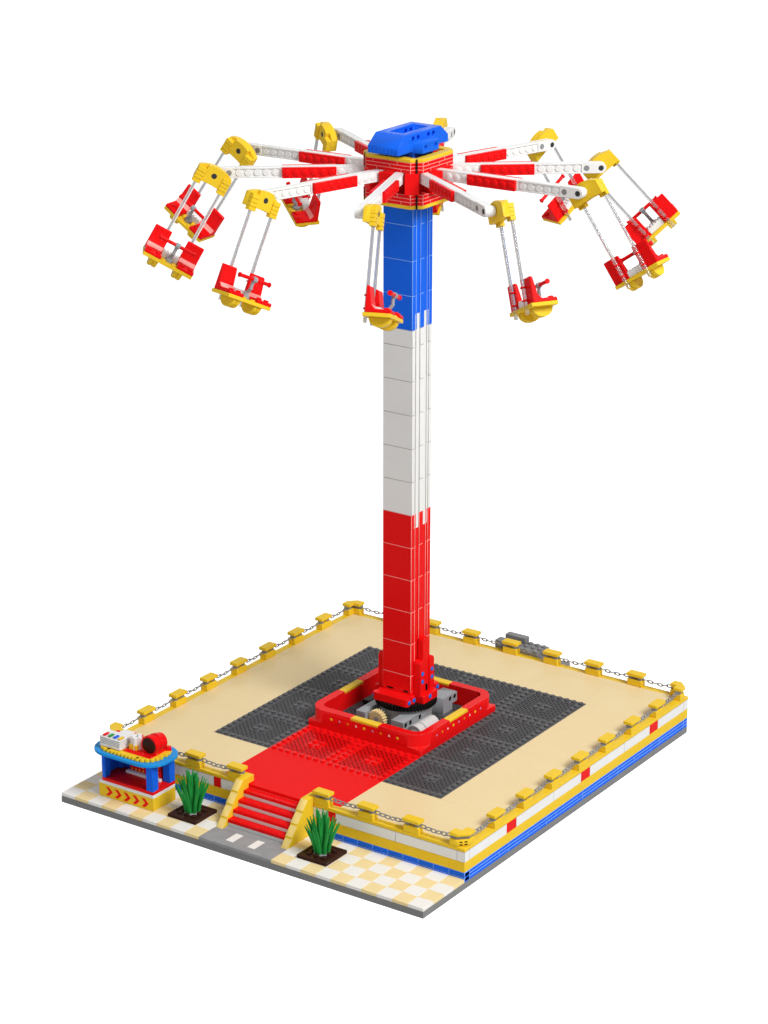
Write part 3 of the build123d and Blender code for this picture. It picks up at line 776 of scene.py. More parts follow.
@dataclass
class Fence:
    """Coping, posts with caps, and chains between their clips."""

    half: float = 200.0
    wall_top: float = 35.2
    deck_top: float = 38.4
    clip: float = 44.8
    cap: float = 48.0
    top: float = 51.2
    post: float = 16.0
    pitch: float = 48.0
    corner: float = STUD
    gate: float = 40.0
    sag: float = 1.6
    links: int = 6
    link_r: float = 1.55
    wire_r: float = 0.55
    link_stretch: float = 1.95
    lip: float = 0.7

    def corner_piece(self, form: Form, z0: float, z1: float, inset: float, turn: Matrix) -> None:
        """Adds a corner piece with its outer corner cut.

        Args:
            form: takes the piece.
            z0: the lower level.
            z1: the upper level.
            inset: how far it stands back from the faces.
            turn: which corner it goes to.
        """
        far, near = self.half - inset, self.half - STUD + inset
        cut = self.half - self.corner - inset / 2
        start = self.half - self.post
        points = [(start, -far), (cut, -far), (far, -cut), (far, -start), (near, -start), (near, -near),
                  (start, -near)]
        form.slab([turn @ Vector((x, y, z0)) for x, y in points], (0, 0, z1 - z0))

    def chain(self, form: Form, start: float, end: float, turn: Matrix) -> None:
        """Adds the links between two clips.

        Args:
            form: takes the links.
            start: where the chain starts along the side.
            end: where it ends.
            turn: which side it is on.
        """
        pitch = (end - start) / self.links
        y = -self.half + STUD / 2
        for k in range(self.links):
            share = (k + 0.5) / self.links
            z = self.clip + PLATE / 2 - self.sag * 4 * share * (1 - share)
            roll = Matrix.Rotation(math.radians(25 if k % 2 else 80), 4, "X")
            middle = turn @ Vector((start + pitch * (k + 0.5), y, z))
            form.ring(middle, self.link_r, self.wire_r, self.link_stretch, turn.to_3x3().to_4x4() @ roll)

    def build(self) -> None:
        """Makes the four sides."""
        grey, slots = Form(), Form()
        inner, half = self.half - STUD, self.post / 2
        out, back = -self.half, -inner
        spots = [self.pitch * k for k in range(-3, 4)]
        runs = [("front_left", Side.FRONT, -inner, -self.gate, spots[:3]),
                ("front_right", Side.FRONT, self.gate, inner, spots[4:])]
        runs += [(side.name.lower(), side, -inner, inner, spots) for side in (Side.RIGHT, Side.BACK, Side.LEFT)]
        for name, side, start, end, posts in runs:
            yellow = Form()
            turn = quarter(side)
            edges = sorted([start, end] + [p + s * half for p in posts for s in (-1, 1)])
            for a, b in zip(edges, edges[1:]):
                if b - a > 0.1:
                    yellow.block((a, out, self.wall_top), (b, back, self.deck_top), turn)
            for p in posts:
                wide = half + self.lip
                yellow.block((p - half, out, self.deck_top), (p + half, back, self.clip), turn)
                yellow.block((p - wide, out - self.lip, self.cap), (p + wide, back + self.lip, self.top), turn)
                grey.block((p - half, out + 2.6, self.clip + 0.6), (p + half, back - 2.6, self.cap), turn)
                for x in (-5, 5):
                    foot, head = (turn @ Vector((p + x, out + STUD / 2, z)) for z in (self.clip, self.cap))
                    grey.rod(foot, head, 3.1)
            for a, b in zip(posts, posts[1:]):
                self.chain(grey, a + half, b - half, turn)
            if end == inner:
                yellow.block((inner, out, self.wall_top), (self.half, back, self.deck_top), turn)
                self.corner_piece(yellow, self.deck_top, self.clip, 0.0, turn)
                self.corner_piece(yellow, self.cap, self.top, -0.6, turn)
                self.corner_piece(grey, self.clip, self.cap, 1.6, turn)
                self.chain(grey, posts[-1] + half, self.half - self.post, turn)
                corner = Matrix.Translation((self.half - STUD / 2, STUD / 2 - self.half, 0))
                lean = turn @ corner @ Matrix.Rotation(math.pi / 4, 4, "Z")
                for z in (39.6, 42.2):
                    for s in (-1, 1):
                        slots.block((s * 2.2 - 1.3, -0.05, z), (s * 2.2 + 1.3, 1, z + 1.2), lean)
            if start == -inner:
                self.chain(grey, self.post - self.half, posts[0] - half, turn)
            yellow.soften(0.35).piece(f"fence_{name}_yellow", Abs.YELLOW, "base", f"fence_{name}")
        grey.piece("fence_chain_links", Abs.CHAIN_GREY, "base", "fence_chains")
        slots.piece("corner_slots", Abs.BLACK)


@dataclass
class Stairs:
    """Four steps of grey plates with red treads, between sloped strings."""

    half: float = 32.0
    front: float = -232.0
    back: float = -200.0
    foot: float = 9.6
    steps: int = 4
    string_end: float = -192.0

    def build(self) -> None:
        """Makes the flight and the strings."""
        treads, plates = Form(), Form()
        for k in range(self.steps):
            y, z = self.front + STUD * k, self.foot + 2 * PLATE * k
            plates.block((-self.half, y, z), (self.half, self.back, z + PLATE))
            for x in (-self.half, 0):
                treads.block((x, y, z + PLATE), (x + self.half, min(y + 2 * STUD, self.back), z + 2 * PLATE))
        treads.soften(0.3).piece("stair_treads", Abs.RED, "base", "stair_flight")
        plates.soften(0.3).piece("stair_plates", Abs.PALE_GREY, "base", "stair_flight")
        strings = Form.of("stair_stringers")
        for vert in strings.bm.verts:
            vert.co.y = min(vert.co.y, self.string_end)
        strings.soften(0.3)
        # painted highlight: the slopes facing up and out take the paler slope colour
        strings.bm.normal_update()
        for face in strings.bm.faces:
            if face.normal.y < -0.3 and face.normal.z > 0.3 and face.calc_area() > 6:
                face.material_index = 1
        strings.piece("stair_strings", Abs.SLOPE, "base", "stair_stringers")


@dataclass
class Ring:
    """The red surround of the well, with yellow inserts and a band of small lamps."""

    half: float = 64.0
    band: float = 50.4
    pitch: float = 9.4
    lamp: float = 1.6
    bead: float = 46.0
    beads: tuple = ((53.4, 54.1), (45.6, 46.2))

    def build(self) -> None:
        """Makes the surround."""
        # painted highlight: pale lines on the surround's chamfers
        Form.of("ring_wall").soften(0.45, painted_edges=True).piece("ring_surround", Abs.RED, "base", "ring_wall")
        Form.of("ring_marks").soften(0.8).piece("ring_inserts", Abs.YELLOW, "base", "ring_marks")
        lamps = {finish: Form() for finish in (Abs.YELLOW, Abs.WHITE, Abs.ORANGE, Abs.LILAC)}
        order = (Abs.YELLOW, Abs.LILAC, Abs.ORANGE, Abs.WHITE)
        seams = Form()
        for side in Side:
            turn = quarter(side)
            for k in range(-4, 5):
                form = lamps[order[(k + side) % 4]]
                shape = 3 if (k + side) % 4 in (1, 3) else 8
                start, end = (turn @ Vector((k * self.pitch, -self.half + y, self.band)) for y in (0.1, -0.3))
                form.rod(start, end, self.lamp, self.lamp * 0.7, shape)
            for z0, z1 in self.beads:
                seams.block((-self.bead, -self.half - 0.22, z0), (self.bead, -self.half + 0.2, z1), turn)
        for finish, form in lamps.items():
            form.piece(f"ring_lamps_{finish.name}", finish)
        seams.piece("ring_beads", Abs.RED)


@dataclass
class Drive:
    """Girders, motor, turntable and gear in the well."""

    motor: tuple[float, float, float] = (36.0, -40.0, 46.4)
    motor_r: float = 8.1
    motor_l: float = 32.0
    dimple_r: float = 24.6

    def build(self) -> None:
        """Makes the drive."""
        Form.of("gearbox").soften(0.4).piece("drive_girders", Abs.LIGHT_GREY, "base", "gearbox")
        # painted shade: black rods fill the girders' holes, so that the holes read dark
        dark = Form()
        for x0, x1, ys in ((10.2, 23.7, (-36, -28, -12)), (8.2, 23.7, (40, 48))):
            for y in ys:
                dark.rod((AXIS_X + x0, y, 50.6), (AXIS_X + x1, y, 50.6), 2.35)
        dark.piece("girder_holes", Abs.BLACK)
        x, y, z = self.motor
        x += AXIS_X
        case = Form()
        for start, end, slim in ((0.4, 9.6, 0), (9.6, 10.6, 0.6), (10.6, self.motor_l - 0.4, 0)):
            case.rod((x, y + start, z), (x, y + end, z), self.motor_r - slim, sides=48)
        case.rod((x, y - 0.1, z), (x, y + 1, z), 5.2, 5.2, 16)
        case.soften(0.5).piece("drive_motor", Abs.PALE_GREY)
        Form.of("turntable_ring").soften(0.15).piece("turntable", Abs.BLACK, "rotor", "turntable_ring")
        top = Form()
        for k in range(16):
            a = 2 * math.pi * k / 16
            px, py = AXIS_X + self.dimple_r * math.cos(a), self.dimple_r * math.sin(a)
            top.rod((px, py, 63.5), (px, py, 63.96), 1.5, sides=8)
        top.piece("turntable_dimples", Abs.BLACK, "rotor")
        gear = Form.of("drive_gear").soften(0.2)
        gear.piece("drive_crown_gear", Abs.GEAR_TAN, "drive_gear", "drive_gear")
        extra = Form()
        extra.block((AXIS_X - 46, -6, 41.5), (AXIS_X - 38, 26, 49.4))
        for k in range(4):
            extra.rod((AXIS_X - 38.2, STUD * k - 2, 45.4), (AXIS_X - 37.4, STUD * k - 2, 45.4), 3.1, sides=16)
        extra.block((AXIS_X - 46, -6, 38.4), (AXIS_X - 38, 26, 41.5))
        extra.soften(0.5).piece("drive_side_beam", Abs.BLACK)


@dataclass
class Tower:
    """The square tower of panels, with its foot."""

    half: float = 16.0
    panel: float = 4.8
    rib: float = 3.2
    groove: float = 1.0
    foot_z: float = 64.0
    base_z: float = 75.2
    red_top: float = 251.2
    white_top: float = 427.2
    blue_top: float = 542.4
    pitch: float = 32.0
    step: float = 14.4
    slats: tuple[float, ...] = (-9.6, 8.0)
    slat: float = 1.6
    beam: float = 7.9
    pin: tuple[float, float] = (2.4, 2.1)

    def section(self, name: str, finish: "Moulded", low: float, high: float, first: float,
                core: Sequence[float]) -> None:
        """Makes one colour of the tower.

        Args:
            name: its node.
            finish: its finish.
            low: its lower level.
            high: its upper level.
            first: the level of the first seam.
            core: the levels between which its colour shows in the grooves.
        """
        form = Form()
        half, deep = self.half, self.half - self.panel
        seams = [first + self.pitch * k for k in range(8)]
        cuts = [low, *[z for z in seams if low + 1 < z < high - 1], high]
        wall = half - self.groove
        for z0, z1 in zip(cuts, cuts[1:]):
            for turn in (0, 2):
                place = quarter(turn, AXIS_X)
                form.block((-half, -half, z0), (half, -deep, z1), place)
                form.block((wall, -self.rib, z0), (half, self.rib, z1), place)
                for y in self.slats:
                    form.block((wall, y, z0), (half - 0.35, y + self.slat, z1), place)
        # painted edge lines on the chamfers: a highlight on red and blue, grey painted shade on white
        form.soften(0.5, painted_edges=True)
        form.block((-half + self.groove, -deep, core[0]), (wall, deep, core[1]), quarter(0, AXIS_X))
        form.piece(f"{name}_panels", finish, "rotor", name)

    def foot(self) -> None:
        """Makes the foot: beams, brackets, spurs and their pins."""
        form, pins, slots = Form(), Form(), Form()
        z0 = self.foot_z
        place = quarter(0, AXIS_X)
        form.block((-16, -16, z0), (16, 16, self.base_z), place)
        for sign in (-1, 1):
            for y in (16, 24):
                outline = rounded(40, self.beam, 3.6, 4)
                form.slab([place @ Vector((x, y * sign + v, z0)) for x, v in outline], (0, 0, STUD))
                for way in (1, -1):
                    start, end = (place @ Vector((x * way, y * sign, z0 + 4)) for x in (19.4, 20.5))
                    pins.rod(start, end, *self.pin)
            turn = quarter(1 - sign, AXIS_X)
            out = turn.to_3x3()
            form.block((16, -12, z0), (28, 12, z0 + STUD), turn)
            start, end = (turn @ Vector((x, -sign, z0 + 5)) for x in (27.4, 28.5))
            pins.rod(start, end, *self.pin)
            for y in (-STUD, STUD):
                bracket = [turn @ Vector((16, y + v, z0 + w)) for v, w in arched(self.beam, 42.4)]
                form.slab(bracket, out @ Vector((STUD, 0, 0)))
                for z in (85, 93):
                    start, end = (turn @ Vector((x, y, z)) for x in (23.4, 24.5))
                    pins.rod(start, end, *self.pin)
            spur = [turn @ Vector((16, v, z0 + w)) for v, w in arched(9.6, 64)]
            form.slab(spur, out @ Vector((6.4, 0, 0)))
            slots.block((16.02, -0.6, 74), (24.1, 0.6, 80), turn)
            for x0, x1 in ((-11, -4), (8, 13)):
                slots.block((x0, -16.2, self.base_z - 1.2), (x1, -15.9, self.base_z + 0.4), turn)
        form.soften(0.5).piece("tower_foot_beams", Abs.RED, "rotor", "tower_foot")
        pins.soften(0.2, 1.2).piece("tower_foot_pins", Abs.PIN_BLUE, "rotor")
        slots.piece("tower_foot_slots", Abs.BLACK, "rotor")

    def build(self) -> None:
        """Makes the tower."""
        low, high = self.red_top - self.step, self.white_top + self.step
        self.section("tower_red", Abs.RED, self.base_z, self.red_top, 91.2, (self.base_z, low))
        self.section("tower_white", Abs.WHITE, self.red_top, self.white_top, 251.2, (low, high))
        self.section("tower_blue", Abs.BLUE, self.white_top, self.blue_top, 427.2, (high, self.blue_top))
        self.foot()


@dataclass
class Hub:
    """Two rings of stacked plates, the spacers between the arms, and the crown."""

    half: float = 32.0
    cut: float = 8.0
    notch: float = 1.2
    low: float = 545.6
    gap: float = 555.2
    high: float = 574.4
    top: float = 584.0
    first: float = FIRST_ARM + ARM_STEP / 2
    seams: tuple = ((-12.0, 14.0), (2.0,), (-16.0, 10.0))

    def layer(self, form: Form, z0: float, z1: float, seams: Sequence[float]) -> None:
        """Adds one ring of plates with its corner pieces.

        Args:
            form: takes the ring.
            z0: its lower level.
            z1: its upper level.
            seams: where the seams stand along each side.
        """
        far, near = self.half, self.half - self.cut
        middle = self.half - self.cut / 2 - self.notch
        for side in range(4):
            turn = quarter(side, AXIS_X)
            for a, b in zip((-near, *seams), (*seams, near)):
                form.block((a, -far, z0), (b, -near, z1), turn)
            corner = ((near, -near), (near, -far), (middle, -middle), (far, -near))
            form.slab([turn @ Vector((x, y, z0)) for x, y in corner], (0, 0, z1 - z0))

    def build(self) -> None:
        """Makes the hub and the crown."""
        for name, z, node_name in (("lower", self.low, "hub_lower"), ("upper", self.high, "hub_upper")):
            form = Form()
            for k, seams in enumerate(self.seams):
                self.layer(form, z + PLATE * k, z + PLATE * (k + 1), seams)
            # painted highlight: pale lines on the plates' chamfers
            form.soften(0.32, painted_edges=True)
            form.block((-24, -24, z + 0.05), (24, 24, z + 9.5), quarter(0, AXIS_X))
            if name == "lower":
                wedge = ((22, -2.9), (39.5, -6.5), (39.5, 6.5), (22, 2.9))
                blocks = Form()
                blocks.rod((AXIS_X, 0, self.gap), (AXIS_X, 0, self.high), 22.4, sides=20)
                for k in range(ARM_COUNT):
                    turn = about_axis(self.first + ARM_STEP * k)
                    foot = [turn @ Vector((x, y, self.gap)) for x, y in wedge]
                    blocks.slab(foot, (0, 0, self.high - self.gap))
                form.add(blocks.soften(0.4))
            form.piece(f"hub_{name}_plates", Abs.RED, "rotor", node_name)
        trims = Form()
        self.layer(trims, self.low - PLATE, self.low, (0.0,))
        self.layer(trims, self.top, self.top + PLATE, (0.0,))
        trims.soften(0.4)
        trims.block((-24, -24, self.low - PLATE + 0.05), (24, 24, self.low - 0.05), quarter(0, AXIS_X))
        trims.piece("hub_trim_plates", Abs.YELLOW, "rotor", "hub_trims")
        Form.of("crown").soften(0.4).piece("crown_frame", Abs.BLUE, "rotor", "crown")
        lines = Form()
        for turn in (0, 2):
            place = quarter(turn, AXIS_X)
            for x in range(-14, 15, 4):
                lines.block((x - 0.9, -40.25, 591.2), (x + 0.9, -39.9, 595.8), place)
            for y in (-37.5, -35, -32.5, -30):
                lines.block((15.9, y - 0.5, 591.2), (16.25, y + 0.5, 596.2), place)
        lines.soften(0.12).piece("crown_ribs", Abs.BLUE, "rotor")
        gaps = Form()
        face = (self.half - self.cut / 2) * math.sqrt(2)
        for side in range(4):
            turn = quarter(side, AXIS_X) @ Matrix.Rotation(math.pi / 4, 4, "Z")
            for z0, z1 in ((self.low - PLATE, self.gap), (self.high, self.top + PLATE)):
                gaps.block((face - 0.6, -0.7, z0 + 0.02), (face + 0.05, 0.7, z1 - 0.02), turn)
        gaps.piece("hub_corner_gaps", Abs.BLACK, "rotor")


@dataclass
class Arms:
    """Ten white beams with red cheeks, bosses and the pins that the swings hang on."""

    reach: float = ARM_REACH
    root: float = 22.0
    low: float = 564.8
    high: float = 574.4
    half: float = 4.0
    cheek: tuple[float, float] = (64.0, 112.0)
    cheek_t: float = PLATE
    recess: tuple[float, float] = (113.6, 154.4)
    pin_end: float = 6.35

    def build(self) -> None:
        """Makes one arm and sets ten of them round the hub."""
        middle = (self.low + self.high) / 2
        r = (self.high - self.low) / 2
        nose = [(self.reach + r * math.cos(a), middle + r * math.sin(a))
                for a in [math.pi / 2 - math.pi * k / 10 for k in range(11)]]
        beam = Form()
        x0, x1 = self.recess
        w = self.half
        side = ((self.root, self.high), *nose, (self.root, self.low))
        beam.slab([(x, -w + 1, z) for x, z in side], (0, 2 * w - 2, 0))
        for y0, y1 in ((-w, -w + 1), (w - 1, w)):
            beam.block((self.root, y0, self.low), (x0, y1, self.high))
            beam.block((x0, y0, self.high - 1.6), (x1, y1, self.high))
            beam.block((x0, y0, self.low), (x1, y1, self.low + 1.6))
            tip = [(x1, self.high), *nose, (x1, self.low)]
            beam.slab([(x, y0, z) for x, z in tip], (0, 1, 0))
        beam.soften(0.3)
        bosses, red, dark, hollow = Form(), Form(), Form(), Form()
        for sign in (-1, 1):
            for x in [44, 52, 60]:
                bosses.rod((x, sign * (w - 0.2), middle), (x, sign * (w + 0.5), middle), 3.3, 3.0)
            for k in range(5):
                x = 118 + 8 * k
                bosses.rod((x, sign * (w - 1.2), middle), (x, sign * (w - 0.1), middle), 3.3, 3.0)
            hollow.rod((159, sign * (w - 0.5), middle), (159, sign * (w + 0.06), middle), 2.6, sides=16)
            a, b = self.cheek
            y0, y1 = sorted((sign * w, sign * (w + self.cheek_t)))
            red.block((a, y0, self.low), (b, y1, self.high))
            for k in range(6):
                x = a + 4 + 8 * k
                face = w + self.cheek_t
                red.rod((x, sign * (face - 0.2), middle), (x, sign * (face + 0.5), middle), 3.3, 3.0)
        bosses.rod((self.reach, w - 0.1, middle), (self.reach, w + 2.1, middle), 4.4, 4.0, 16)
        bosses.rod((self.reach, w, middle), (self.reach, self.pin_end, middle), 2.4)
        beam.add(bosses.soften(0.2, 1.0))
        red.soften(0.3, 1.0)
        dark.rod((self.reach, -w - 0.04, middle), (self.reach, -w + 0.5, middle), 2.5)
        beams, cheeks, holes, hollows = Form(), Form(), Form(), Form()
        for k in range(ARM_COUNT):
            turn = about_axis(FIRST_ARM + ARM_STEP * k)
            beams.add(beam, turn)
            cheeks.add(red, turn)
            holes.add(dark, turn)
            hollows.add(hollow, turn)
        beams.piece("arm_mouldings", Abs.WHITE, "rotor", "arm_beams")
        cheeks.piece("arm_cheek_plates", Abs.RED, "rotor", "arm_cheeks")
        holes.piece("arm_holes", Abs.PIN_GREY, "rotor")
        hollows.piece("arm_hollows", Abs.CHAIN_GREY, "rotor")


@dataclass
class Swings:
    """Ten swings: head, clear rods, seats and their bar. X is outwards, Y ahead, the pin at the origin."""

    reach: float = ARM_REACH
    pin_z: float = 569.6
    tilts: tuple[float, ...] = (35, 43, 36, 30, 23, 35, 30, 25, 21, 25)
    rod_x: float = 12.0
    rod_y: float = 15.0
    floor: float = -83.8
    bar_at: tuple[float, float] = (35.4, -66.2)
    bar_half: float = 17.0

    def head(self) -> Form:
        """The arched head with stacked plates at its ends.

        Returns:
            the form, in the swing's own frame.
        """
        form = Form()

        def crest(half: float, foot: float, sag: float) -> list[tuple[float, float]]:
            """Outline under the arch, with a hollowed foot.

            Returns:
                the outline's points.
            """
            across = [half * (1 - k / 6) for k in range(13)]
            arch = [(x, 8 - 5 * (x / 16) ** 2) for x in across]
            return arch + [(-x, foot + sag * (1 - (x / half) ** 2)) for x in across]

        form.slab([(x, 6.4, z) for x, z in crest(16, -9, 0.8)], (0, 6, 0))
        form.slab([(x, 12.3, z) for x, z in crest(8.3, -9, 0.5)], (0, 3.8, 0))
        for sign in (-1, 1):
            x0, x1 = sorted((sign * 8.2, sign * 16))
            for z0, z1 in ((-12, -8.9), (-8.5, -5.4), (-5.0, -1.9), (-1.5, 2.6)):
                form.block((x0, 12.3, z0), (x1, 17.4, z1))
            form.block((x0 + 0.5, 12.3, -11.8), (x1 - 0.5, 16.8, 2.4))
            for z in (-7.0, -0.5):
                for x in (-1.9, 1.9):
                    form.rod((sign * 12.1 + x, 17.3, z), (sign * 12.1 + x, 17.6, z), 1.4, 1.1, 8)
        return form.soften(0.4)

    def eye(self) -> Form:
        """A dark disc painted as the shade of the pin hole in the face of the head; the head has no bore.

        Returns:
            the form, in the swing's own frame.
        """
        form = Form().rod((0, 16.0, 0), (0, 16.16, 0), 1.9, sides=12)
        return form.add(Form().rod((0, 15.9, 0), (0, 16.13, 0), 2.5, sides=16))

    def rods(self) -> Form:
        """The two clear rods.

        Returns:
            the form, in the swing's own frame.
        """
        form = Form()
        for x in (-self.rod_x, self.rod_x):
            form.rod((x, self.rod_y, -12), (x, self.rod_y, -91.5), BAR_R, sides=16)
        return form.soften(0.2)

    def floor_plate(self) -> Form:
        """The yellow floor with its two round keels.

        Returns:
            the form, in the swing's own frame.
        """
        form = Form()
        form.block((-24, 15, -87), (24, 39, self.floor))
        for x in (-12, 12):
            for grow, deep, wide in ((0.0, 8.0, 3.4), (0.5, 7.4, 0.6)):
                pts = [(28 - (9.4 - grow) * math.cos(a), -87 - deep * math.sin(a))
                       for a in [math.pi * k / 12 for k in range(13)]]
                for y in (-3.9, 0.5) if wide > 1 else (-0.6,):
                    form.slab([(x + y, s, w) for s, w in pts], (wide if wide > 1 else 1.2, 0, 0))
        for x in (-5, 5):
            form.rod((x, 35.5, self.floor), (x, 35.5, self.floor + 1.2), STUD_R)
        return form.soften(0.3)

    def seats(self) -> Form:
        """The two red seats with the holders behind them.

        Returns:
            the form, in the swing's own frame.
        """
        form = Form()
        f = self.floor
        shape = ((16.9, f), (39, f), (39, f + 2.4), (38, f + 3.2), (25.4, f + 3.2), (22.0, f + 6.8),
                 (19.6, f + 21.2), (18.4, f + 22.4), (16.9, f + 22.4))
        for x0 in (-24, 8):
            form.slab([(x0, s, w) for s, w in shape], (16, 0, 0))
            for x in (4, 12):
                form.rod((x0 + x, 34.6, f + 3), (x0 + x, 34.6, f + 4.7), STUD_R)
        form.soften(0.5)
        # painted highlight: the broad facet at the foot of each back takes the pale edge colour
        form.bm.normal_update()
        for face in form.bm.faces:
            if face.normal.y > 0.4 and face.normal.z > 0.4 and face.calc_area() > 30:
                face.material_index = 1
        clips = Form()
        for x in (-self.rod_x, self.rod_x):
            for z in (f + 4, f + 15):
                clips.ring((x, self.rod_y, z), 2.1, 0.75, 1.0, None, 12, 6)
                clips.block((x - 1.6, 16.4, z - 0.8), (x + 1.6, 17.2, z + 0.8))
        return form.add(clips)

    def bar(self) -> Form:
        """The red bar held across the two laps.

        Returns:
            the form, in the swing's own frame.
        """
        y, z = self.bar_at
        form = Form().rod((-self.bar_half, y, z), (self.bar_half, y, z), BAR_R, sides=16)
        for x in (-self.bar_half, self.bar_half):
            form.rod((x - 0.9, y, z), (x + 0.9, y, z), 2.2, 2.2, 16)
        return form.soften(0.4)

    def lever(self) -> Form:
        """The grey lever that carries the bar.

        Returns:
            the form, in the swing's own frame.
        """
        form = Form()
        f = self.floor
        form.rod((0, 30.5, f), (0, 30.5, f + 3.2), 3.9, 3.9, 16)
        form.rod((0, 30.5, f + 3), (0, 31, f + 5.6), 2.6, 2.0, 12)
        form.rod((0, 31, f + 5), (0, 34.6, f + 9.4), 1.6, 1.5, 12)
        form.rod((0, 34.6, f + 8.6), (0, 34.2, f + 13.6), 1.5, 1.5, 12)
        form.rod((0, 34.2, f + 13.2), (0, 35.4, f + 16.8), 1.5, 1.6, 12)
        y, z = self.bar_at
        form.rod((-2.1, y, z), (2.1, y, z), 2.5, 2.5, 16)
        return form.soften(0.25, 0.9)

    def block(self) -> Form:
        """The white ribbed brick between the seats.

        Returns:
            the form, in the swing's own frame.
        """
        form = Form()
        f = self.floor
        form.block((-7.9, 17.2, f), (7.9, 25.6, f + 5.6))
        for k in range(5):
            x = -6.4 + 3.2 * k
            form.block((x - 0.9, 17.2, f + 5.5), (x + 0.9, 25.6, f + 6.4))
        return form.soften(0.35)

    def build(self) -> None:
        """Makes every swing at its own angle."""
        parts = (
            ("head", self.head(), Abs.YELLOW, "carrier"),
            ("rods", self.rods(), Abs.CLEAR, "carrier"),
            ("floor", self.floor_plate(), Abs.YELLOW, "carrier"),
            ("seats", self.seats(), Abs.RED, "seats"),
            ("eye", self.eye(), Abs.PIN_GREY, "carrier"),
            ("bar", self.bar(), Abs.RED, "seats"),
            ("lever", self.lever(), Abs.LIGHT_GREY, "seats"),
            ("brick", self.block(), Abs.WHITE, "seats"),
        )
        for k, tilt in enumerate(self.tilts):
            body = f"swing_{k + 1:02d}"
            turn = about_axis(FIRST_ARM + ARM_STEP * k)
            tilted = Matrix.Rotation(math.radians(-tilt), 4, "Y")
            place = turn @ Matrix.Translation((self.reach, 0, self.pin_z)) @ tilted
            for name, form, finish, stands_for in parts:
                form.placed(place).piece(f"{body}_{name}_moulding", finish, body, f"{body}_{stands_for}")


